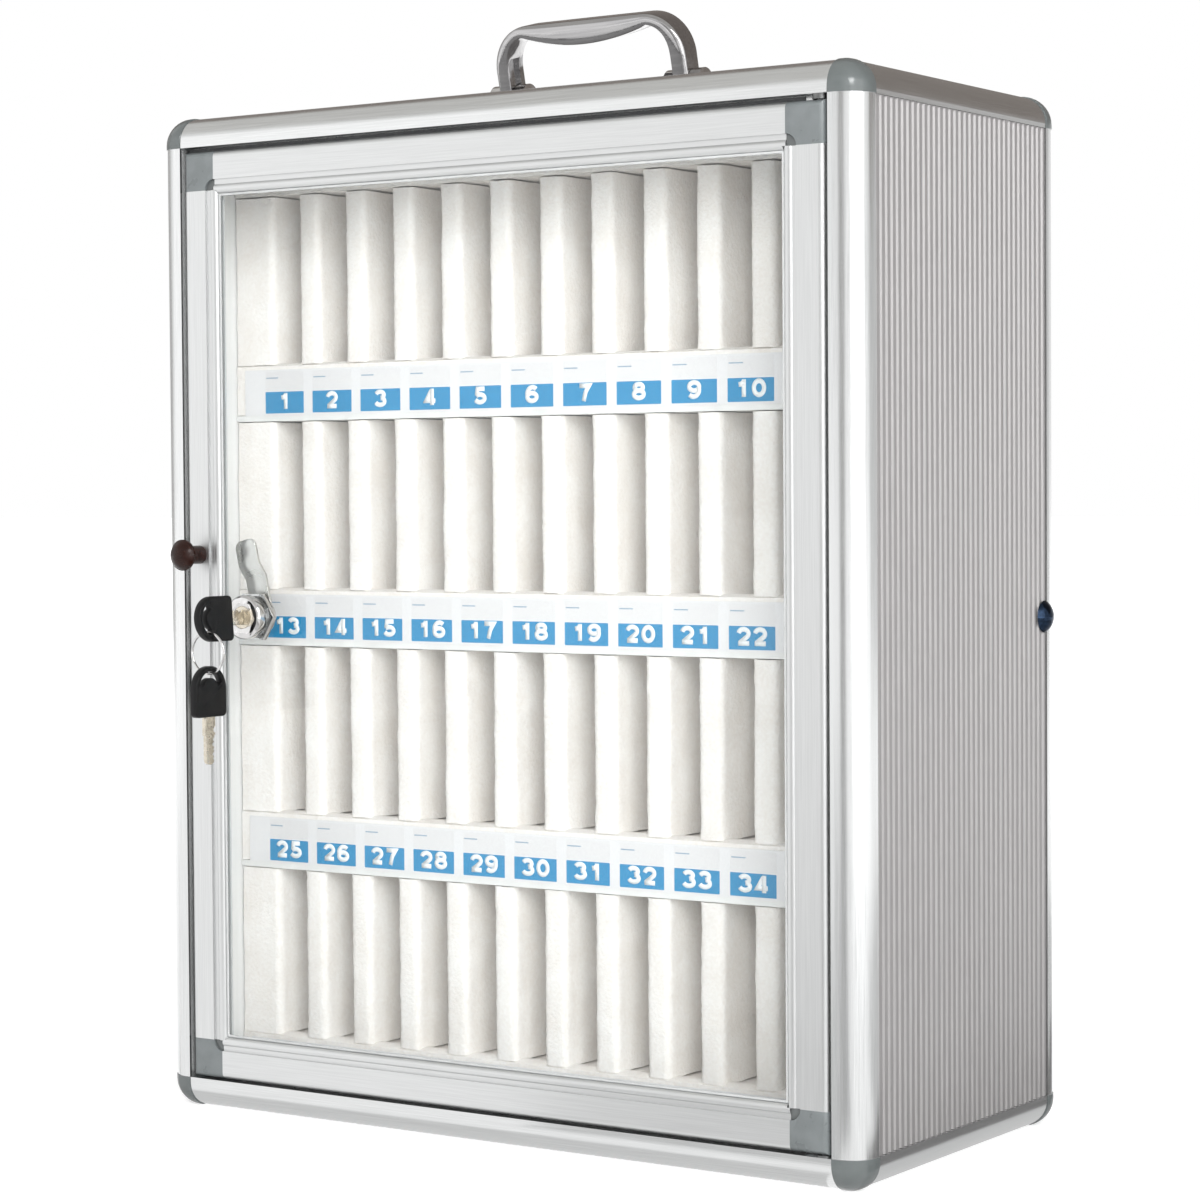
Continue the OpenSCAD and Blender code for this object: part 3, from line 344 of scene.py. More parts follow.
# %% [markdown]
# ## Clear door sheet
#
# A 3 mm clear acrylic sheet. Seen nearly square on it is almost invisible; towards a glancing angle
# it mirrors more. A mix of a see-through and a mirror shader by the angle gives exactly that, and light
# passes straight through it, so the foam behind stays bright.

# %% Clear acrylic
clear, clear_tree, _ = new_finish("clear acrylic sheet")
see_through = add(clear_tree, "ShaderNodeBsdfTransparent", {"Color": linear("fbfcfc")})
gloss = add(clear_tree, "ShaderNodeBsdfGlossy", {"Roughness": 0.04, "Color": linear("ffffff")})
# Schlick's rule, which holds for both faces of the sheet, so that no light is caught inside it
square_on, glancing, power = 0.025, 0.97, 5.0
facing = add(clear_tree, "ShaderNodeLayerWeight", {"Blend": 0.5}).outputs["Facing"]
steep = add(clear_tree, "ShaderNodeMath", {0: facing, 1: power}, operation="POWER").outputs[0]
mirror_share = add(clear_tree, "ShaderNodeMath", {0: steep, 1: glancing, 2: square_on},
                   operation="MULTIPLY_ADD").outputs[0]
clear_mix = add(clear_tree, "ShaderNodeMixShader",
                {0: mirror_share, 1: see_through.outputs[0], 2: gloss.outputs[0]})
clear_tree.links.new(clear_mix.outputs[0], clear_tree.nodes["Material Output"].inputs[0])
wear_finish(clear, "door_glass")

# %% [markdown]
# ## Foam
#
# The insert is white polyethylene foam, cut into strips that stand on slabs. Foam has no crisp
# edges: the cut face is slightly fuzzy, edges are rounded and each strip differs a little. A
# sculpted block would look too smooth, and a cloth simulation suits cushions better than stiff foam.
# So each strip is a block whose front edges are bevelled and whose surface is cut fine enough for a
# Displace modifier to push it in and out by fractions of a millimetre. One strip is modelled and
# copied, and the displacement follows the place, so no two strips look the same.

# %% Foam finish
foam, foam_tree, foam_shader = new_finish("white polyethylene foam", Roughness=0.95, IOR=1.3)
foam_shader.inputs["Specular IOR Level"].default_value = 0.2
foam_cells = grain(foam_tree, 1.6 * MM, 3.0)
foam_clouds = grain(foam_tree, 22 * MM, 2.0)
foam_tone = add(foam_tree, "ShaderNodeMath", {0: foam_cells, 1: foam_clouds}, operation="ADD")
foam_white = between(foam_tree, foam_tone.outputs[0], 0, 1, (0.7, 1.3))
foam_colour = two_tone(foam_tree, foam_white, "f0eae4", "fbf8f5")
foam_tree.links.new(foam_colour, foam_shader.inputs["Base Color"])
relief(foam_tree, foam_shader, foam_cells, 0.5 * MM)


# %% Modelling helpers
def start_fresh():
    """Leaves edit mode and deselects everything, because operators act on all that is selected."""
    if bpy.context.mode != "OBJECT":
        bpy.ops.object.mode_set(mode="OBJECT")
    bpy.ops.object.select_all(action="DESELECT")


def select_only(piece):
    """Makes a piece the only selected one and the active one, in object mode."""
    start_fresh()
    piece.select_set(True)
    bpy.context.view_layer.objects.active = piece


def block(name, low, high):
    """A cube primitive at its size and place, in metres, left active and in object mode."""
    start_fresh()
    low, high = Vector(low), Vector(high)
    bpy.ops.mesh.primitive_cube_add(size=1, location=(low + high) / 2)
    piece = bpy.context.object
    piece.name = piece.data.name = name
    piece.scale = high - low
    bpy.ops.object.transform_apply(location=True, rotation=True, scale=True)
    return piece


def pick(kind, chosen):
    """In edit mode, selects the edges or faces of the active mesh for which chosen(piece) is true."""
    mesh = bpy.context.object.data
    bpy.ops.mesh.select_mode(type="EDGE" if kind == "edges" else "FACE")
    bpy.ops.mesh.select_all(action="DESELECT")
    bpy.ops.object.mode_set(mode="OBJECT")
    items = mesh.edges if kind == "edges" else mesh.polygons
    for item in items:
        item.select = bool(chosen(mesh, item))
    bpy.ops.object.mode_set(mode="EDIT")


def along_axis(mesh, edge, axis):
    """True if an edge runs along the given axis."""
    a, b = (mesh.vertices[i].co for i in edge.vertices)
    return abs((a - b)[axis]) > 0.999 * (a - b).length


def edge_middle(mesh, edge):
    """The point halfway along an edge."""
    a, b = (mesh.vertices[i].co for i in edge.vertices)
    return (a + b) / 2


def cut(axis, places):
    """In edit mode, cuts the whole active mesh square to an axis at each of the places."""
    normal = Vector([float(n == axis) for n in range(3)])
    for place in places:
        bpy.ops.mesh.select_all(action="SELECT")
        bpy.ops.mesh.bisect(plane_co=normal * place, plane_no=normal)


def extent(piece):
    """The lower and the upper corner of a piece's mesh, in mm."""
    places = [[v.co[i] / MM for v in piece.data.vertices] for i in range(3)]
    return [[round(end(p), 2) for p in places] for end in (min, max)]


def copy_of(piece, name, shift):
    """A copy with its own mesh, moved by shift, which stays in the mesh."""
    twin = put(name, piece.data.copy())
    twin.data.name = name
    twin.data.transform(Matrix.Translation(shift))
    return twin


def joined(pieces, name):
    """Joins pieces into the first one."""
    start_fresh()
    for piece in pieces:
        piece.select_set(True)
    bpy.context.view_layer.objects.active = pieces[0]
    if len(pieces) > 1:
        bpy.ops.object.join()
    pieces[0].name = pieces[0].data.name = name
    return pieces[0]


def applied(piece, kind, **settings):
    """Adds a modifier with its settings and applies it."""
    select_only(piece)
    modifier = piece.modifiers.new(kind.lower(), kind)
    for name, value in settings.items():
        setattr(modifier, name, value)
    bpy.ops.object.modifier_apply(modifier=modifier.name)


def smooth(piece, degrees=40):
    """Smooth shading, with edges sharper than the angle left crisp."""
    select_only(piece)
    bpy.ops.object.shade_smooth_by_angle(angle=math.radians(degrees))


# %% Measures of the foam from the CAD
tiers, columns, column_pitch, slot_width = (1, 2, 3, 4), 12, 30 * MM, 15 * MM
edge_round, row_height = 4.5 * MM, 2.2 * MM
strip_cuts, slab_cuts = (7, 11, 16, 23, 32), (4, 9, 15, 25)  # behind the foam's front, in mm
swell_low, swell_high, swell_rise = 3 * MM, 12 * MM, 1.6 * MM
fuzz = bpy.data.textures.new("foam fuzz", "CLOUDS")
fuzz.noise_scale = 2.6 * MM
fuzz.noise_depth = 2
swell = bpy.data.textures.new("foam swell", "CLOUDS")
swell.noise_scale = 16 * MM
for tier in tiers:
    low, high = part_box("foam_dividers_%d" % tier)
    print("tier", tier, "strips in mm:", [[round(v / MM, 1) for v in corner] for corner in (low, high)])


# %% Foam strips
def foam_strip(name, low, high, rounded):
    """A strip of foam; rounded gives the sides, -1 left and 1 right, whose front edge is rounded."""
    strip = block(name, low, high)
    bpy.ops.object.mode_set(mode="EDIT")
    pick("edges", lambda mesh, e: along_axis(mesh, e, 2) and edge_middle(mesh, e).y < low[1] + MM
         and any(abs(edge_middle(mesh, e).x - (low if side < 0 else high)[0]) < MM for side in rounded))
    bpy.ops.mesh.bevel(offset=edge_round, segments=5, affect="EDGES")
    cut(1, [low[1] + depth * MM for depth in strip_cuts])
    width = high[0] - low[0]
    if width > 2 * edge_round:
        cut(0, [low[0] + share * width for share in (0.3, 0.5, 0.7)])
    pick("edges", lambda mesh, e: along_axis(mesh, e, 2))
    bpy.ops.mesh.subdivide(number_cuts=int((high[2] - low[2]) / row_height))
    bpy.ops.object.mode_set(mode="OBJECT")
    return strip


def foam_piece(piece, nodes, fuzz_depth=0.7, swell_depth=0.8):
    """Displaces, finishes and hands over a foam piece that stands for CAD nodes."""
    dress(piece, foam)
    for texture, depth in ((swell, swell_depth), (fuzz, fuzz_depth)):
        applied(piece, "DISPLACE", texture=texture, strength=depth * MM, mid_level=1.0,
                texture_coords="GLOBAL")
    smooth(piece, 60)
    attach(piece, "case")
    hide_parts(*nodes)


for tier in tiers:
    low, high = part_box("foam_dividers_%d" % tier)
    first_slot = -column_pitch * (columns - 1) / 2
    left_end, right_start = first_slot - slot_width / 2, -first_slot + slot_width / 2
    strips = [foam_strip("foam_end_left", low, (left_end, high.y, high.z), (1,)),
              foam_strip("foam_end_right", (right_start, low.y, low.z), high, (-1,))]
    middle = foam_strip("foam_strip", (first_slot + slot_width / 2, low.y, low.z),
                        (first_slot + column_pitch - slot_width / 2, high.y, high.z), (-1, 1))
    strips.append(middle)
    for n in range(1, columns - 1):
        strips.append(copy_of(middle, "foam_strip_%d" % n, (n * column_pitch, 0, 0)))
    tier_piece = joined(strips, "foam_strips_tier_%d" % tier)
    foam_piece(tier_piece, ["foam_dividers_%d" % tier])
    print("tier", tier, "faces:", len(tier_piece.data.polygons))

# %% Foam slabs
slabs = [("foam_base_%d" % tier, "foam_slab_tier_%d" % tier) for tier in tiers]
for name, label in slabs + [("foam_top", "foam_slab_top")]:
    low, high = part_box(name)
    slab = block(label, low, high)
    bpy.ops.object.mode_set(mode="EDIT")
    cut(1, [low.y + depth * MM for depth in slab_cuts])
    pick("edges", lambda mesh, e: along_axis(mesh, e, 2))
    bpy.ops.mesh.subdivide(number_cuts=8)
    pick("edges", lambda mesh, e: along_axis(mesh, e, 0))
    bpy.ops.mesh.subdivide(number_cuts=150)
    if name != "foam_top":
        # The top of the slab swells a little where it meets the air
        pick("edges", lambda mesh, e: along_axis(mesh, e, 0)
             and edge_middle(mesh, e).z > high.z - 0.1 * MM
             and low.y + swell_low < edge_middle(mesh, e).y < low.y + swell_high)
        bpy.ops.transform.translate(value=(0, 0, swell_rise))
    bpy.ops.object.mode_set(mode="OBJECT")
    foam_piece(slab, [name], 0.4, 0.3)
    print(label, "faces:", len(slab.data.polygons))

# %% [markdown]
# ## Labels
#
# Under each row runs a strip of white card with a printed field for every slot: room for a name on
# top and a blue block with a white number below. Print has no thickness to speak of, so the fields
# are sheets 0.05 mm thick, laid on the strip one over the other in the order they are printed.

# %% Print finishes
def printed(name, dark, light):
    """Ink on coated card under clear film: a smooth, even tone with a little mottle."""
    material, tree, shader = new_finish(name, IOR=1.5)
    mottle = grain(tree, 0.8 * MM, 2.0)
    tint(tree, shader, mottle, dark, light, (0.35, 0.45))
    relief(tree, shader, mottle, 0.01 * MM)
    return material


card_white = printed("coated white card", "e5e4e5", "ebeaeb")
field_white = printed("printed name field", "e0dedf", "e6e5e5")
blue_ink = printed("blue printing ink", "1f87ba", "2991c4")
digit_white = printed("white of the numbers", "f1f4f6", "f8fafb")
rule_ink = printed("blue-grey printing ink", "8ea4b8", "9fb3c6")
wear_finish(card_white, "label_strips")


# %% Label fields and numbers
ink = 0.05 * MM


def print_layer(name, low, high, material, front):
    """A printed field: a thin block whose front corners are bevelled off, standing on the strip."""
    piece = block(name, (low[0], front, low[1]), (high[0], front + ink, high[1]))
    dress(piece, material)
    bpy.ops.object.mode_set(mode="EDIT")
    pick("edges", lambda mesh, e: along_axis(mesh, e, 1))
    bpy.ops.mesh.bevel(offset=0.3 * MM, segments=2, affect="EDGES")
    bpy.ops.object.mode_set(mode="OBJECT")
    return piece


digit_wide, digit_high, digit_stroke, digit_step = 5.8 * MM, 8.2 * MM, 2.3 * MM, 9.0 * MM
stroke_lift = 0.015 * MM


def bow(centre_x, centre_y, wide, high, start, end, steps=12):
    """Points on part of an oval, angles in degrees, clockwise where end is less than start."""
    angles = [math.radians(start + (end - start) * n / steps) for n in range(steps + 1)]
    return [(centre_x + wide * math.cos(a), centre_y + high * math.sin(a)) for a in angles]


# Middle lines of the strokes, drawn in a box of these sizes; one that ends where it began is a ring
box_wide, box_high = 4.9, 9.7
strokes = {
    "0": [bow(2.45, 4.85, 2.35, 3.85, 90, 450, 24)],
    "1": [[(3.1, 0), (3.1, 9.7)], [(0.7, 6.9), (1.9, 7.1), (3.0, 8.3)]],
    "2": [bow(2.4, 6.35, 2.3, 2.4, 175, -40) + [(0.7, 1.3)], [(-0.1, 0.95), (5.0, 0.95)]],
    "3": [bow(2.3, 6.85, 2.1, 1.9, 165, -80), bow(2.4, 3.0, 2.4, 2.05, 80, -165)],
    "4": [[(5.4, 2.6), (0.6, 2.6), (3.3, 8.6)], [(3.7, 0), (3.7, 9.7)]],
    "5": [[(4.7, 8.75), (1.1, 8.75), (0.7, 4.7)], bow(2.3, 3.2, 2.45, 2.25, 140, -160)],
    "6": [bow(2.45, 3.2, 2.35, 2.25, 90, 450, 20), bow(2.75, 5.0, 2.65, 3.75, 195, 45)],
    "7": [[(-0.1, 8.75), (4.6, 8.75), (2.9, 5.2), (1.9, 0)]],
    "8": [bow(2.45, 6.95, 2.0, 1.8, 90, 450, 20), bow(2.45, 3.05, 2.35, 2.1, 90, 450, 20)],
}
strokes["9"] = [[(box_wide - x, box_high - y) for x, y in line] for line in strokes["6"]]


def digit_piece(character):
    """A digit as wide flat strokes that stand upright at the origin, facing the front."""
    pieces = []
    for order, line in enumerate(strokes[character]):
        curve = bpy.data.curves.new("stroke", "CURVE")
        curve.dimensions, curve.fill_mode, curve.extrude = "2D", "NONE", ink / 2
        ring = abs(line[0][0] - line[-1][0]) < 0.01 and abs(line[0][1] - line[-1][1]) < 0.01
        points = line[:-1] if ring else line
        spline = curve.splines.new("POLY")
        spline.points.add(len(points) - 1)
        for point, (x, y) in zip(spline.points, points):
            point.co = ((x - box_wide / 2) / box_wide * digit_wide, y / box_high * digit_high, 0, 1)
        spline.use_cyclic_u = ring
        select_only(put("stroke", curve))
        bpy.ops.object.convert(target="MESH")
        piece = bpy.context.object
        applied(piece, "SOLIDIFY", thickness=digit_stroke, offset=0, use_even_offset=True,
                thickness_clamp=0)
        bpy.ops.object.mode_set(mode="EDIT")
        bpy.ops.mesh.select_all(action="SELECT")
        bpy.ops.mesh.normals_make_consistent(inside=False)
        bpy.ops.object.mode_set(mode="OBJECT")
        # Each stroke stands a little before the one it crosses, so that no two faces share a place
        forward = Matrix.Translation((0, -stroke_lift * order, 0))
        piece.data.transform(forward @ Matrix.Rotation(math.radians(90), 4, "X"))
        pieces.append(piece)
    digit = joined(pieces, "digit_" + character)
    dress(digit, digit_white)
    return digit


digits = {character: digit_piece(character) for character in strokes}
for character in "128":
    print("digit", character, "from and to in mm:", extent(digits[character]))


def number_piece(number, centre_x, foot_z, front):
    """The number's digits side by side, in place."""
    text = str(number)
    start = centre_x - digit_step * (len(text) - 1) / 2
    return [copy_of(digits[character], "number_%02d" % number, (start + n * digit_step, front, foot_z))
            for n, character in enumerate(text)]


strips_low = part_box("label_strips")[0]
strip_front, strip_height, tier_pitch = strips_low.y, 23.5 * MM, 115.6 * MM
field_width, field_pitch, first_field = 25.3 * MM, 31.1 * MM, -178.0 * MM
# The fields' edges and the numbers above the strip's foot, and the rule below its top
margin, blue_top, name_foot, number_foot = 1.0 * MM, 12.1 * MM, 12.6 * MM, 3.2 * MM
rule_low, rule_high, rule_start, rule_end = 4.6 * MM, 4.0 * MM, 0.6 * MM, 8.6 * MM
number_lift = 0.09 * MM
for tier in tiers:
    top = 27.9 * MM + (tier - 1) * tier_pitch
    foot = max(top - strip_height, strips_low.z)
    layers = []
    for column in range(columns):
        left = first_field + column * field_pitch
        right = left + field_width
        number = (len(tiers) - tier) * columns + column + 1
        layers += [
            print_layer("name_field", (left, foot + name_foot), (right, top - margin),
                        field_white, strip_front - ink),
            print_layer("blue_field", (left, foot + margin), (right, foot + blue_top),
                        blue_ink, strip_front - ink),
            print_layer("name_rule", (left + rule_start, top - rule_low),
                        (left + rule_end, top - rule_high), rule_ink, strip_front - 2 * ink)]
        layers += number_piece(number, (left + right) / 2, foot + number_foot, strip_front - number_lift)
    prints = joined(layers, "label_print_tier_%d" % tier)
    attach(prints, "case")
    print("label print", tier, "faces:", len(prints.data.polygons))
for digit in digits.values():
    bpy.data.objects.remove(digit)

# %% [markdown]
# ## Gasket and seal
#
# A thin pale gasket lines the door's opening, and dark grey fillers close the round notches of the
# corner pieces; their grey is darker than the corners' as painted shade in the notches. The gasket
# could be swept along a curve, but a plane that is inset, emptied in the middle and given a thickness
# is the same ring with fewer steps. Felt on the stop lip closes the gap round the door, dark above and
# below it; at its left, where the gap takes more light, it is painted paler: painted light.

# %% Gasket
door_side, glass_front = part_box("door_corners")[1].x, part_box("door_glass")[0].y
door_foot, door_head = 16.5 * MM, 482 * MM
bar_width, corner_width, notch_round = 21.2 * MM, 19.5 * MM, 5.5 * MM
# Vinyl is duller than the moulded corners, so both pieces read as soft
gasket_vinyl = moulded("pale vinyl gasket", "b4b6b6", "bfc1c1", (0.4, 0.5), 5 * MM, 0.02 * MM)
# The notch fillers are a darker grey than the corners: painted shade in the notches
notch_filler_painted_shade = moulded("dark grey vinyl filler with painted shade", "505353", "5c5f5f", (0.4, 0.5), 5 * MM, 0.02 * MM)
opening_half = door_side - bar_width
opening_low, opening_high = door_foot + bar_width, door_head - bar_width

start_fresh()
bpy.ops.mesh.primitive_plane_add(size=1, location=(0, glass_front, (opening_low + opening_high) / 2),
                                 rotation=(math.radians(90), 0, 0))
gasket = bpy.context.object
gasket.scale = (2 * opening_half, opening_high - opening_low, 1)
bpy.ops.object.transform_apply(location=True, rotation=True, scale=True)
bpy.ops.object.mode_set(mode="EDIT")
bpy.ops.mesh.select_all(action="SELECT")
bpy.ops.mesh.inset(thickness=1.2 * MM)
bpy.ops.mesh.delete(type="FACE")
bpy.ops.object.mode_set(mode="OBJECT")
applied(gasket, "SOLIDIFY", thickness=1.0 * MM, offset=1)
applied(gasket, "BEVEL", width=0.3 * MM, segments=2, limit_method="ANGLE")
print("gasket in mm:", extent(gasket))

# %% Fillers of the notches
filler_thick = 1.7 * MM
fillers = []
for side in (-1, 1):
    for level, corner_z in ((-1, door_foot + corner_width), (1, door_head - corner_width)):
        corner_x = side * (door_side - corner_width)
        start_fresh()
        bpy.ops.mesh.primitive_cylinder_add(vertices=48, radius=notch_round - 0.1 * MM,
                                            depth=filler_thick,
                                            location=(corner_x, glass_front - filler_thick / 2, corner_z),
                                            rotation=(math.radians(90), 0, 0))
        filler = bpy.context.object
        bpy.ops.object.transform_apply(location=True, rotation=True, scale=True)
        bpy.ops.object.mode_set(mode="EDIT")
        for plane_no in ((side, 0, 0), (0, 0, level)):
            bpy.ops.mesh.select_all(action="SELECT")
            bpy.ops.mesh.bisect(plane_co=(corner_x, 0, corner_z), plane_no=plane_no, use_fill=True,
                                clear_inner=True, clear_outer=False)
        front = glass_front - filler_thick + 0.1 * MM
        pick("edges", lambda mesh, e: all(mesh.vertices[i].co.y < front for i in e.vertices))
        bpy.ops.mesh.bevel(offset=0.3 * MM, segments=2, affect="EDGES")
        bpy.ops.object.mode_set(mode="OBJECT")
        dress(filler, notch_filler_painted_shade)
        fillers.append(filler)
dress(gasket, gasket_vinyl)
gasket = joined([gasket] + fillers, "door_gasket")
smooth(gasket)
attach(gasket, "door")

# %% Felt on the stop lip
def felt_finish(name, dark, light):
    """Felt: a rough mat of fibres that differ in tone."""
    material, tree, shader = new_finish(name, Roughness=1.0)
    fibres = grain(tree, 0.8 * MM, 3.0)
    tint(tree, shader, fibres, dark, light)
    relief(tree, shader, fibres, 0.1 * MM)
    return material


dark_felt = felt_finish("dark grey felt", "4a4b4c", "6a6b6c")
# The same felt in a paler tone for the door's left, where the gap takes more light: painted light
felt_painted_lit = felt_finish("grey felt painted paler where lit", "b4b5b5", "c6c7c7")
lip_y, felt_thick = -92.5 * MM, 0.35 * MM
# From the lower left to the upper right corner in mm: above the door, below it and at its left
felt_places = [((-186.8, 480.9), (172, 484.3), dark_felt), ((-186.8, 15.7), (172, 18.7), dark_felt),
               ((-186.8, 18.7), (-183.4, 480.9), felt_painted_lit)]
felt_strips = []
for (x0, z0), (x1, z1), material in felt_places:
    strip = block("felt", (x0 * MM, lip_y - felt_thick, z0 * MM), (x1 * MM, lip_y, z1 * MM))
    applied(strip, "BEVEL", width=0.12 * MM, segments=2, limit_method="ANGLE")
    dress(strip, material)
    felt_strips.append(strip)
felt_seal = joined(felt_strips, "stop_lip_felt")
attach(felt_seal, "case")

# %% [markdown]
# ## Rounded edges
#
# Nothing that is moulded, cast or stamped has a knife edge, and it is the thin light line along an
# edge that tells the eye how big a piece is. So the small parts are copied from the CAD, their loose
# triangles are merged into clean faces, and a Bevel modifier rounds every sharp edge by a fraction of
# a millimetre. The CAD node stays where it is for the collisions, and the copy is what is seen.

# %% Rounded copies of CAD parts
def rounded_copy(node, name, body, width):
    """A copy of a CAD node, its sharp edges rounded by width millimetres, which stands for the node."""
    piece = put(name, cad[node].data.copy())
    piece.data.name = name
    select_only(piece)
    bpy.ops.object.mode_set(mode="EDIT")
    bpy.ops.mesh.select_all(action="SELECT")
    bpy.ops.mesh.remove_doubles(threshold=0.002 * MM)
    bpy.ops.mesh.dissolve_limited(angle_limit=math.radians(0.5))
    bpy.ops.object.mode_set(mode="OBJECT")
    applied(piece, "BEVEL", width=width * MM, segments=2, limit_method="ANGLE",
            angle_limit=math.radians(35))
    smooth(piece, 35)
    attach(piece, body)
    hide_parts(node)
    print(name, "faces:", len(piece.data.polygons))


for node, name, body, slot, width in (
        ("key_head", "key_grip_rounded", "key", "key_grip", 0.5),
        ("spare_key_head", "spare_key_grip_rounded", "spare_key", "key_grip", 0.5),
        ("key_blade", "key_blade_rounded", "key", "key_metal", 0.2),
        ("spare_key_blade", "spare_key_blade_rounded", "spare_key", "key_metal", 0.2),
        ("lock_body", "lock_body_rounded", "door", "lock_metal", 0.4),
        ("lock_nut", "lock_nut_rounded", "door", "lock_metal", 0.4),
        ("lock_cam", "lock_cam_rounded", "lock_plug", "cam", 0.3),
        ("door_corners", "door_corners_rounded", "door", "door_corner", 0.35)):
    rounded_copy(node, name, body, width)

# %% [markdown]
# ## Handle
#
# The carrying handle is a zinc casting with chrome on it: round-shouldered, thick in the hand and
# hollow in the legs. It could be carved out of a block, but its section follows one line, so it is
# made as a smith would make it. A straight bar gets its rounded edges, swells in the middle by
# proportional editing, is hollowed and bored at its ends, and is then bent round a flat curve.

# %% The straight bar
pin_low, pin_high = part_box("handle_pins")
pivot = (pin_low + pin_high) / 2
half_width, rise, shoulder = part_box("handle")[1].x, 36 * MM, 22 * MM
leg_end, leg_deep, leg_thick = 7.25 * MM, 14.5 * MM, 8 * MM
grip_thick, belly_thick, grip_deep = 5.3 * MM, 11.6 * MM, 20 * MM
end_round, outer_round, inner_round = 7.0 * MM, 2.4 * MM, 0.8 * MM
straight = rise - shoulder + leg_end
bend = math.pi / 2 * shoulder
bar_length = 2 * (straight + bend + half_width - shoulder)

handle = block("carrying_handle", (0, -grip_thick, -leg_deep / 2), (bar_length, 0, leg_deep / 2))
bpy.ops.object.mode_set(mode="EDIT")
pick("edges", lambda mesh, e: along_axis(mesh, e, 1))
bpy.ops.mesh.bevel(offset=end_round, segments=6, affect="EDGES")
pick("edges", lambda mesh, e: all(mesh.vertices[i].co.y > -0.01 * MM for i in e.vertices))
bpy.ops.mesh.bevel(offset=outer_round, segments=5, affect="EDGES")
pick("edges", lambda mesh, e: all(mesh.vertices[i].co.y < 0.01 * MM - grip_thick for i in e.vertices))
bpy.ops.mesh.bevel(offset=inner_round, segments=2, affect="EDGES")
rings = 84
cut(0, [bar_length * n / rings for n in range(1, rings)])
print("bar length in mm:", round(bar_length / MM, 1), "faces:", len(handle.data.polygons))

# %% Swell, hollow and bore it
belly_reach, grip_reach, leg_reach = 38 * MM, 74 * MM, 26 * MM
groove_inset, groove_depth, groove_foot = 3.4 * MM, 1.8 * MM, 12 * MM


def swell_ring(chosen, factors, reach, falloff="SMOOTH"):
    """Scales the chosen edges about the bar's middle, and what is near them less and less."""
    pick("edges", chosen)
    bpy.ops.transform.resize(value=factors, center_override=(middle_x, 0, 0), use_proportional_edit=True,
                             proportional_edit_falloff=falloff, proportional_size=reach)


def from_middle(mesh, edge):
    """How far along the bar an edge is from its middle."""
    return abs(edge_middle(mesh, edge).x - middle_x)


def in_groove(mesh, face):
    """True for a face on the inside of a leg or of the first part of the bend over it."""
    from_end = middle_x - abs(face.center.x - middle_x)
    return face.normal.y < -0.9 and straight - groove_foot < from_end < straight + 0.4 * bend


middle_x = bar_length / 2
swell_ring(lambda mesh, e: from_middle(mesh, e) < 0.1 * MM, (1, belly_thick / grip_thick, 1),
           belly_reach, "INVERSE_SQUARE")
swell_ring(lambda mesh, e: from_middle(mesh, e) < 0.1 * MM, (1, 1, grip_deep / leg_deep), grip_reach)
swell_ring(lambda mesh, e: from_middle(mesh, e) > middle_x - straight, (1, leg_thick / grip_thick, 1),
           leg_reach)
pick("faces", in_groove)
bpy.ops.mesh.inset(thickness=groove_inset)
bpy.ops.mesh.extrude_region_move(TRANSFORM_OT_translate={"value": (0, groove_depth, 0)})
bpy.ops.object.mode_set(mode="OBJECT")
bore = (pin_high.z - pin_low.z) / 2 + 0.1 * MM
for end in (leg_end, bar_length - leg_end):
    start_fresh()
    bpy.ops.mesh.primitive_cylinder_add(vertices=32, radius=bore, depth=30 * MM,
                                        location=(end, -leg_thick / 2, 0),
                                        rotation=(math.radians(90), 0, 0))
    drill = bpy.context.object
    applied(handle, "BOOLEAN", object=drill, operation="DIFFERENCE", solver="EXACT")
    bpy.data.objects.remove(drill)
print("handle faces:", len(handle.data.polygons))

# %% Bend it and put it up
arc_steps = 28
outline = [(-half_width, -leg_end), (-half_width, 0.0)]
for n in range(arc_steps + 1):
    turned = math.radians(90) * n / arc_steps
    outline.append((-half_width + shoulder - shoulder * math.cos(turned),
                    rise - shoulder + shoulder * math.sin(turned)))
outline += [(-x, y) for x, y in reversed(outline)]
bend_line = bpy.data.curves.new("handle line", "CURVE")
bend_line.dimensions = "2D"
spline = bend_line.splines.new("POLY")
spline.points.add(len(outline) - 1)
for point, (x, y) in zip(spline.points, outline):
    point.co = (x, y, 0, 1)
bender = put("handle line", bend_line)
applied(handle, "CURVE", object=bender, deform_axis="POS_X")
bpy.data.objects.remove(bender)
# The curve lies flat: a quarter turn stands it up, and the lean is that of the photograph
lean = math.radians(14)
stand_up = Matrix.Rotation(lean, 4, "X") @ Matrix.Rotation(math.radians(90), 4, "X")
handle.data.transform(Matrix.Translation(pivot) @ stand_up)

handle_chrome, chrome_tree, chrome_shader = new_finish("chrome on a polished handle casting",
                                                       Metallic=1.0)
# Polishing along the grip leaves drawn-out waves about 1 mm wide, which break up what it mirrors
waves = grain(chrome_tree, 1.1 * MM, 3.0, (30, 1, 1))
tint(chrome_tree, chrome_shader, waves, "a6a5a6", "b8b7b7", (0.07, 0.13))
relief(chrome_tree, chrome_shader, waves, 0.012 * MM)
dress(handle, handle_chrome)
smooth(handle, 32)
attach(handle, "handle")
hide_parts("handle")
print("handle from and to in mm:", extent(handle), "CAD:",
      [[round(v / MM, 2) for v in corner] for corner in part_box("handle")])

# %% [markdown]
# ## Floor, lamps and surroundings
#
# Product photographs of this kind are taken on white paper under large soft lamps. The floor is a
# pale sheet that reads as white to the camera but still takes the box's shadow. One large lamp
# lights the object from the front right and above, a weak one its left, and the white room fills
# in. A side lamp and a window are seen in reflections only, and give the metal its bright bands.

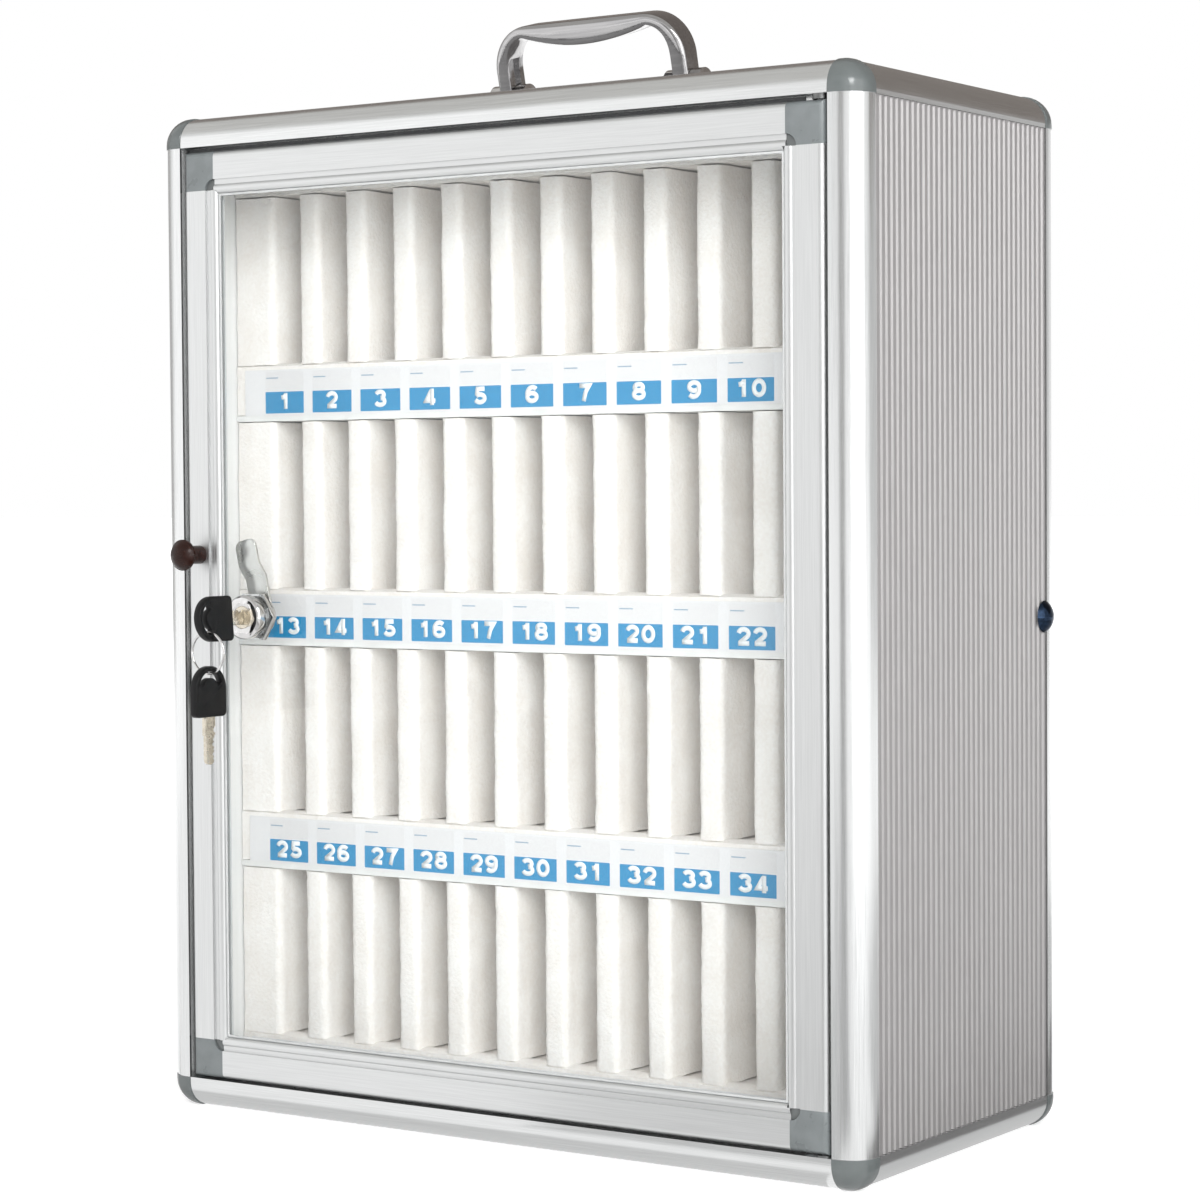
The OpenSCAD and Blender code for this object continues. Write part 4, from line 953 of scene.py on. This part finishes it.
# %% Floor
def looked_at(tree):
    """1 for rays from the camera, a reflection or through the clear sheet, 0 for those that light."""
    rays = add(tree, "ShaderNodeLightPath").outputs
    first_two = {0: rays["Is Camera Ray"], 1: rays["Is Glossy Ray"]}
    both = add(tree, "ShaderNodeMath", first_two, operation="ADD").outputs[0]
    all_three = {0: both, 1: rays["Is Transmission Ray"]}
    return add(tree, "ShaderNodeMath", all_three, operation="ADD", use_clamp=True).outputs[0]


floor_size = 60
start_fresh()
bpy.ops.mesh.primitive_plane_add(size=floor_size, location=(0, 0, cad_box[0].z))
floor = bpy.context.object
floor.name = "floor"
bpy.ops.object.transform_apply(location=True, rotation=True, scale=True)
paper, paper_tree, paper_shader = new_finish("white paper floor", Roughness=0.9)
paper_shader.inputs["Base Color"].default_value = linear("efefef")
paper_place = add(paper_tree, "ShaderNodeTexCoord").outputs["Object"]
paper_reach = add(paper_tree, "ShaderNodeVectorMath", {0: paper_place}, operation="LENGTH")
# Far from the lamps the paper gets less light, so it glows more there and stays white to the camera
paper_far = between(paper_tree, paper_reach.outputs["Value"], 0.5, 1.0, (0.5, 2.5))
paper_glow = add(paper_tree, "ShaderNodeEmission", {"Color": linear("ffffff"), "Strength": paper_far})
paper_sum = add(paper_tree, "ShaderNodeAddShader",
                {0: paper_shader.outputs[0], 1: paper_glow.outputs[0]})
paper_mix = add(paper_tree, "ShaderNodeMixShader",
                {0: looked_at(paper_tree), 1: paper_shader.outputs[0], 2: paper_sum.outputs[0]})
paper_tree.links.new(paper_mix.outputs[0], paper_tree.nodes["Material Output"].inputs[0])
dress(floor, paper)

# %% World
world = bpy.data.worlds.new("studio")
bpy.context.scene.world = world
world.use_nodes = True
world_tree = world.node_tree
world_tree.nodes.clear()
# The walls are white to look at, but send less light, so that the lamps still model the object
room_light = add(world_tree, "ShaderNodeBackground", {"Color": linear("f8f8f8"), "Strength": 0.55})
white_wall = add(world_tree, "ShaderNodeBackground", {"Color": linear("ffffff"), "Strength": 1.0})
world_mix = add(world_tree, "ShaderNodeMixShader",
                {0: looked_at(world_tree), 1: room_light.outputs[0], 2: white_wall.outputs[0]})
add(world_tree, "ShaderNodeOutputWorld", {0: world_mix.outputs[0]})


# %% Lamps
def soft_lamp(name, place, target, size, brightness):
    """A large area lamp that faces a point; brightness is that of its surface, 1 being white."""
    data = bpy.data.lights.new(name, "AREA")
    data.shape = "RECTANGLE"
    data.size, data.size_y = size
    data.energy = brightness * math.pi * size[0] * size[1]
    lamp = put(name, data)
    lamp.location = place
    lamp.rotation_euler = (Vector(target) - Vector(place)).to_track_quat("-Z", "Y").to_euler()
    return lamp


box_centre = (0, 0, 0.25)
soft_lamp("left lamp", (-1.3, -2.3, 1.4), box_centre, (1.8, 1.6), 0.4).visible_glossy = False
soft_lamp("right lamp", (1.781, -2.048, 1.02), box_centre, (2.0, 1.8), 8.0).visible_glossy = False
soft_lamp("side lamp", (2.1, -0.8, 0.75), box_centre, (1.9, 1.9), 1.5).visible_diffuse = False
soft_lamp("window", (1.75, -1.4, 1.65), (0, 0, 0.4), (0.66, 0.6), 12.0).visible_diffuse = False

# %% [markdown]
# ## Flags
#
# Metal shows what stands round it, and in a room that is white all over it looks like chalk. So
# photographers stand dark boards, called flags, where the metal should show a dark band, and pale
# ones where it should be light: here beside the camera, behind the box, over it, to its left and as
# cloths on the table. They are seen by reflections alone, so they neither shade the object nor show
# in the picture.

# %% Flags
def flag(name, corners, tone, strength=1.0):
    """A board with the given corners that only reflections see."""
    start_fresh()
    bpy.ops.mesh.primitive_plane_add(size=1, location=(0, 0, 0))
    board = bpy.context.object
    board.name = board.data.name = name
    for vertex, corner in zip(board.data.vertices, corners):
        vertex.co = corner
    material = bpy.data.materials.new(name + " cloth")
    material.use_nodes = True
    tree = material.node_tree
    tree.nodes.clear()
    glow = add(tree, "ShaderNodeEmission", {"Color": linear(tone), "Strength": strength})
    add(tree, "ShaderNodeOutputMaterial", {0: glow.outputs[0]})
    dress(board, material)
    board.visible_camera = board.visible_diffuse = board.visible_shadow = False
    board.visible_transmission = board.visible_volume_scatter = False


def upright(x0, x1, y0, y1, z0, z1):
    """An upright board's corners: left low, right low, left high, right high."""
    return [(x0, y0, z0), (x1, y1, z0), (x0, y0, z1), (x1, y1, z1)]


ground = cad_box[0].z
flag("camera flag", upright(0.05, 1.15, -3.0, -3.0, ground, 2.0), "bdbcbb")
flag("back flag", [(-3.5, 1.9, 0.9), (3.0, 1.9, 0.72), (-3.5, 0.9, 2.6), (3.0, 0.9, 2.6)], "8b847f")
flag("rear flag", upright(1.33, 3.53, 3.67, 1.88, ground, 1.15), "dadada")
flag("left rear flag", upright(-4.3, -4.4, -0.4, 3.1, ground, 2.4), "c4c3c2")
flag("roof flag", [(-2.5, -2.5, 2.6), (2.5, -2.5, 2.6), (-2.5, 0.9, 2.6), (2.5, 0.9, 2.6)], "d6d5d2")
flag("left card", upright(-3.6, -1.62, -1.4, -2.9, ground, 2.2), "ffffff", 1.32)
# The cloths: the two x of the edge at the first depth, those at the second, the depths and the tone
# The two darker strips at the box's front foot and right beside its side are painted shade: the box's
# shade on the floor, seen only in reflections
table = [("table", (-1.8, 1.9), (-1.8, 1.9), (-0.0895, -2.9), "fcfcfc"),
         ("painted floor shade at the front foot", (-0.4, 0.18), (-0.4, 0.18), (-0.0895, -0.106), "d4d4d4"),
         ("table beside the box", (0.1925, 0.9), (0.1925, 0.9), (0.9, -0.09), "cccccc"),
         ("table right of the box", (0.3, 1.9), (0.3, 1.9), (0.02, -0.09), "ffffff"),
         ("table near the door", (0.0, 0.18), (-0.4, 0.25), (-0.125, -1.6), "cdcdcd"),
         ("table before the camera", (0.17, 0.27), (0.05, 1.15), (-0.2, -2.9), "b9b9b9"),
         ("painted floor shade beside the box", (0.214, 0.29), (0.214, 0.29), (0.4, -0.09), "787777")]
cloth_lift, cloth_glow = 0.06 * MM, 1.16
for order, (name, (x0, x1), (x2, x3), (y0, y1), tone) in enumerate(table, 1):
    level = ground + cloth_lift * order
    flag(name, [(x0, y0, level), (x1, y0, level), (x2, y1, level), (x3, y1, level)], tone, cloth_glow)
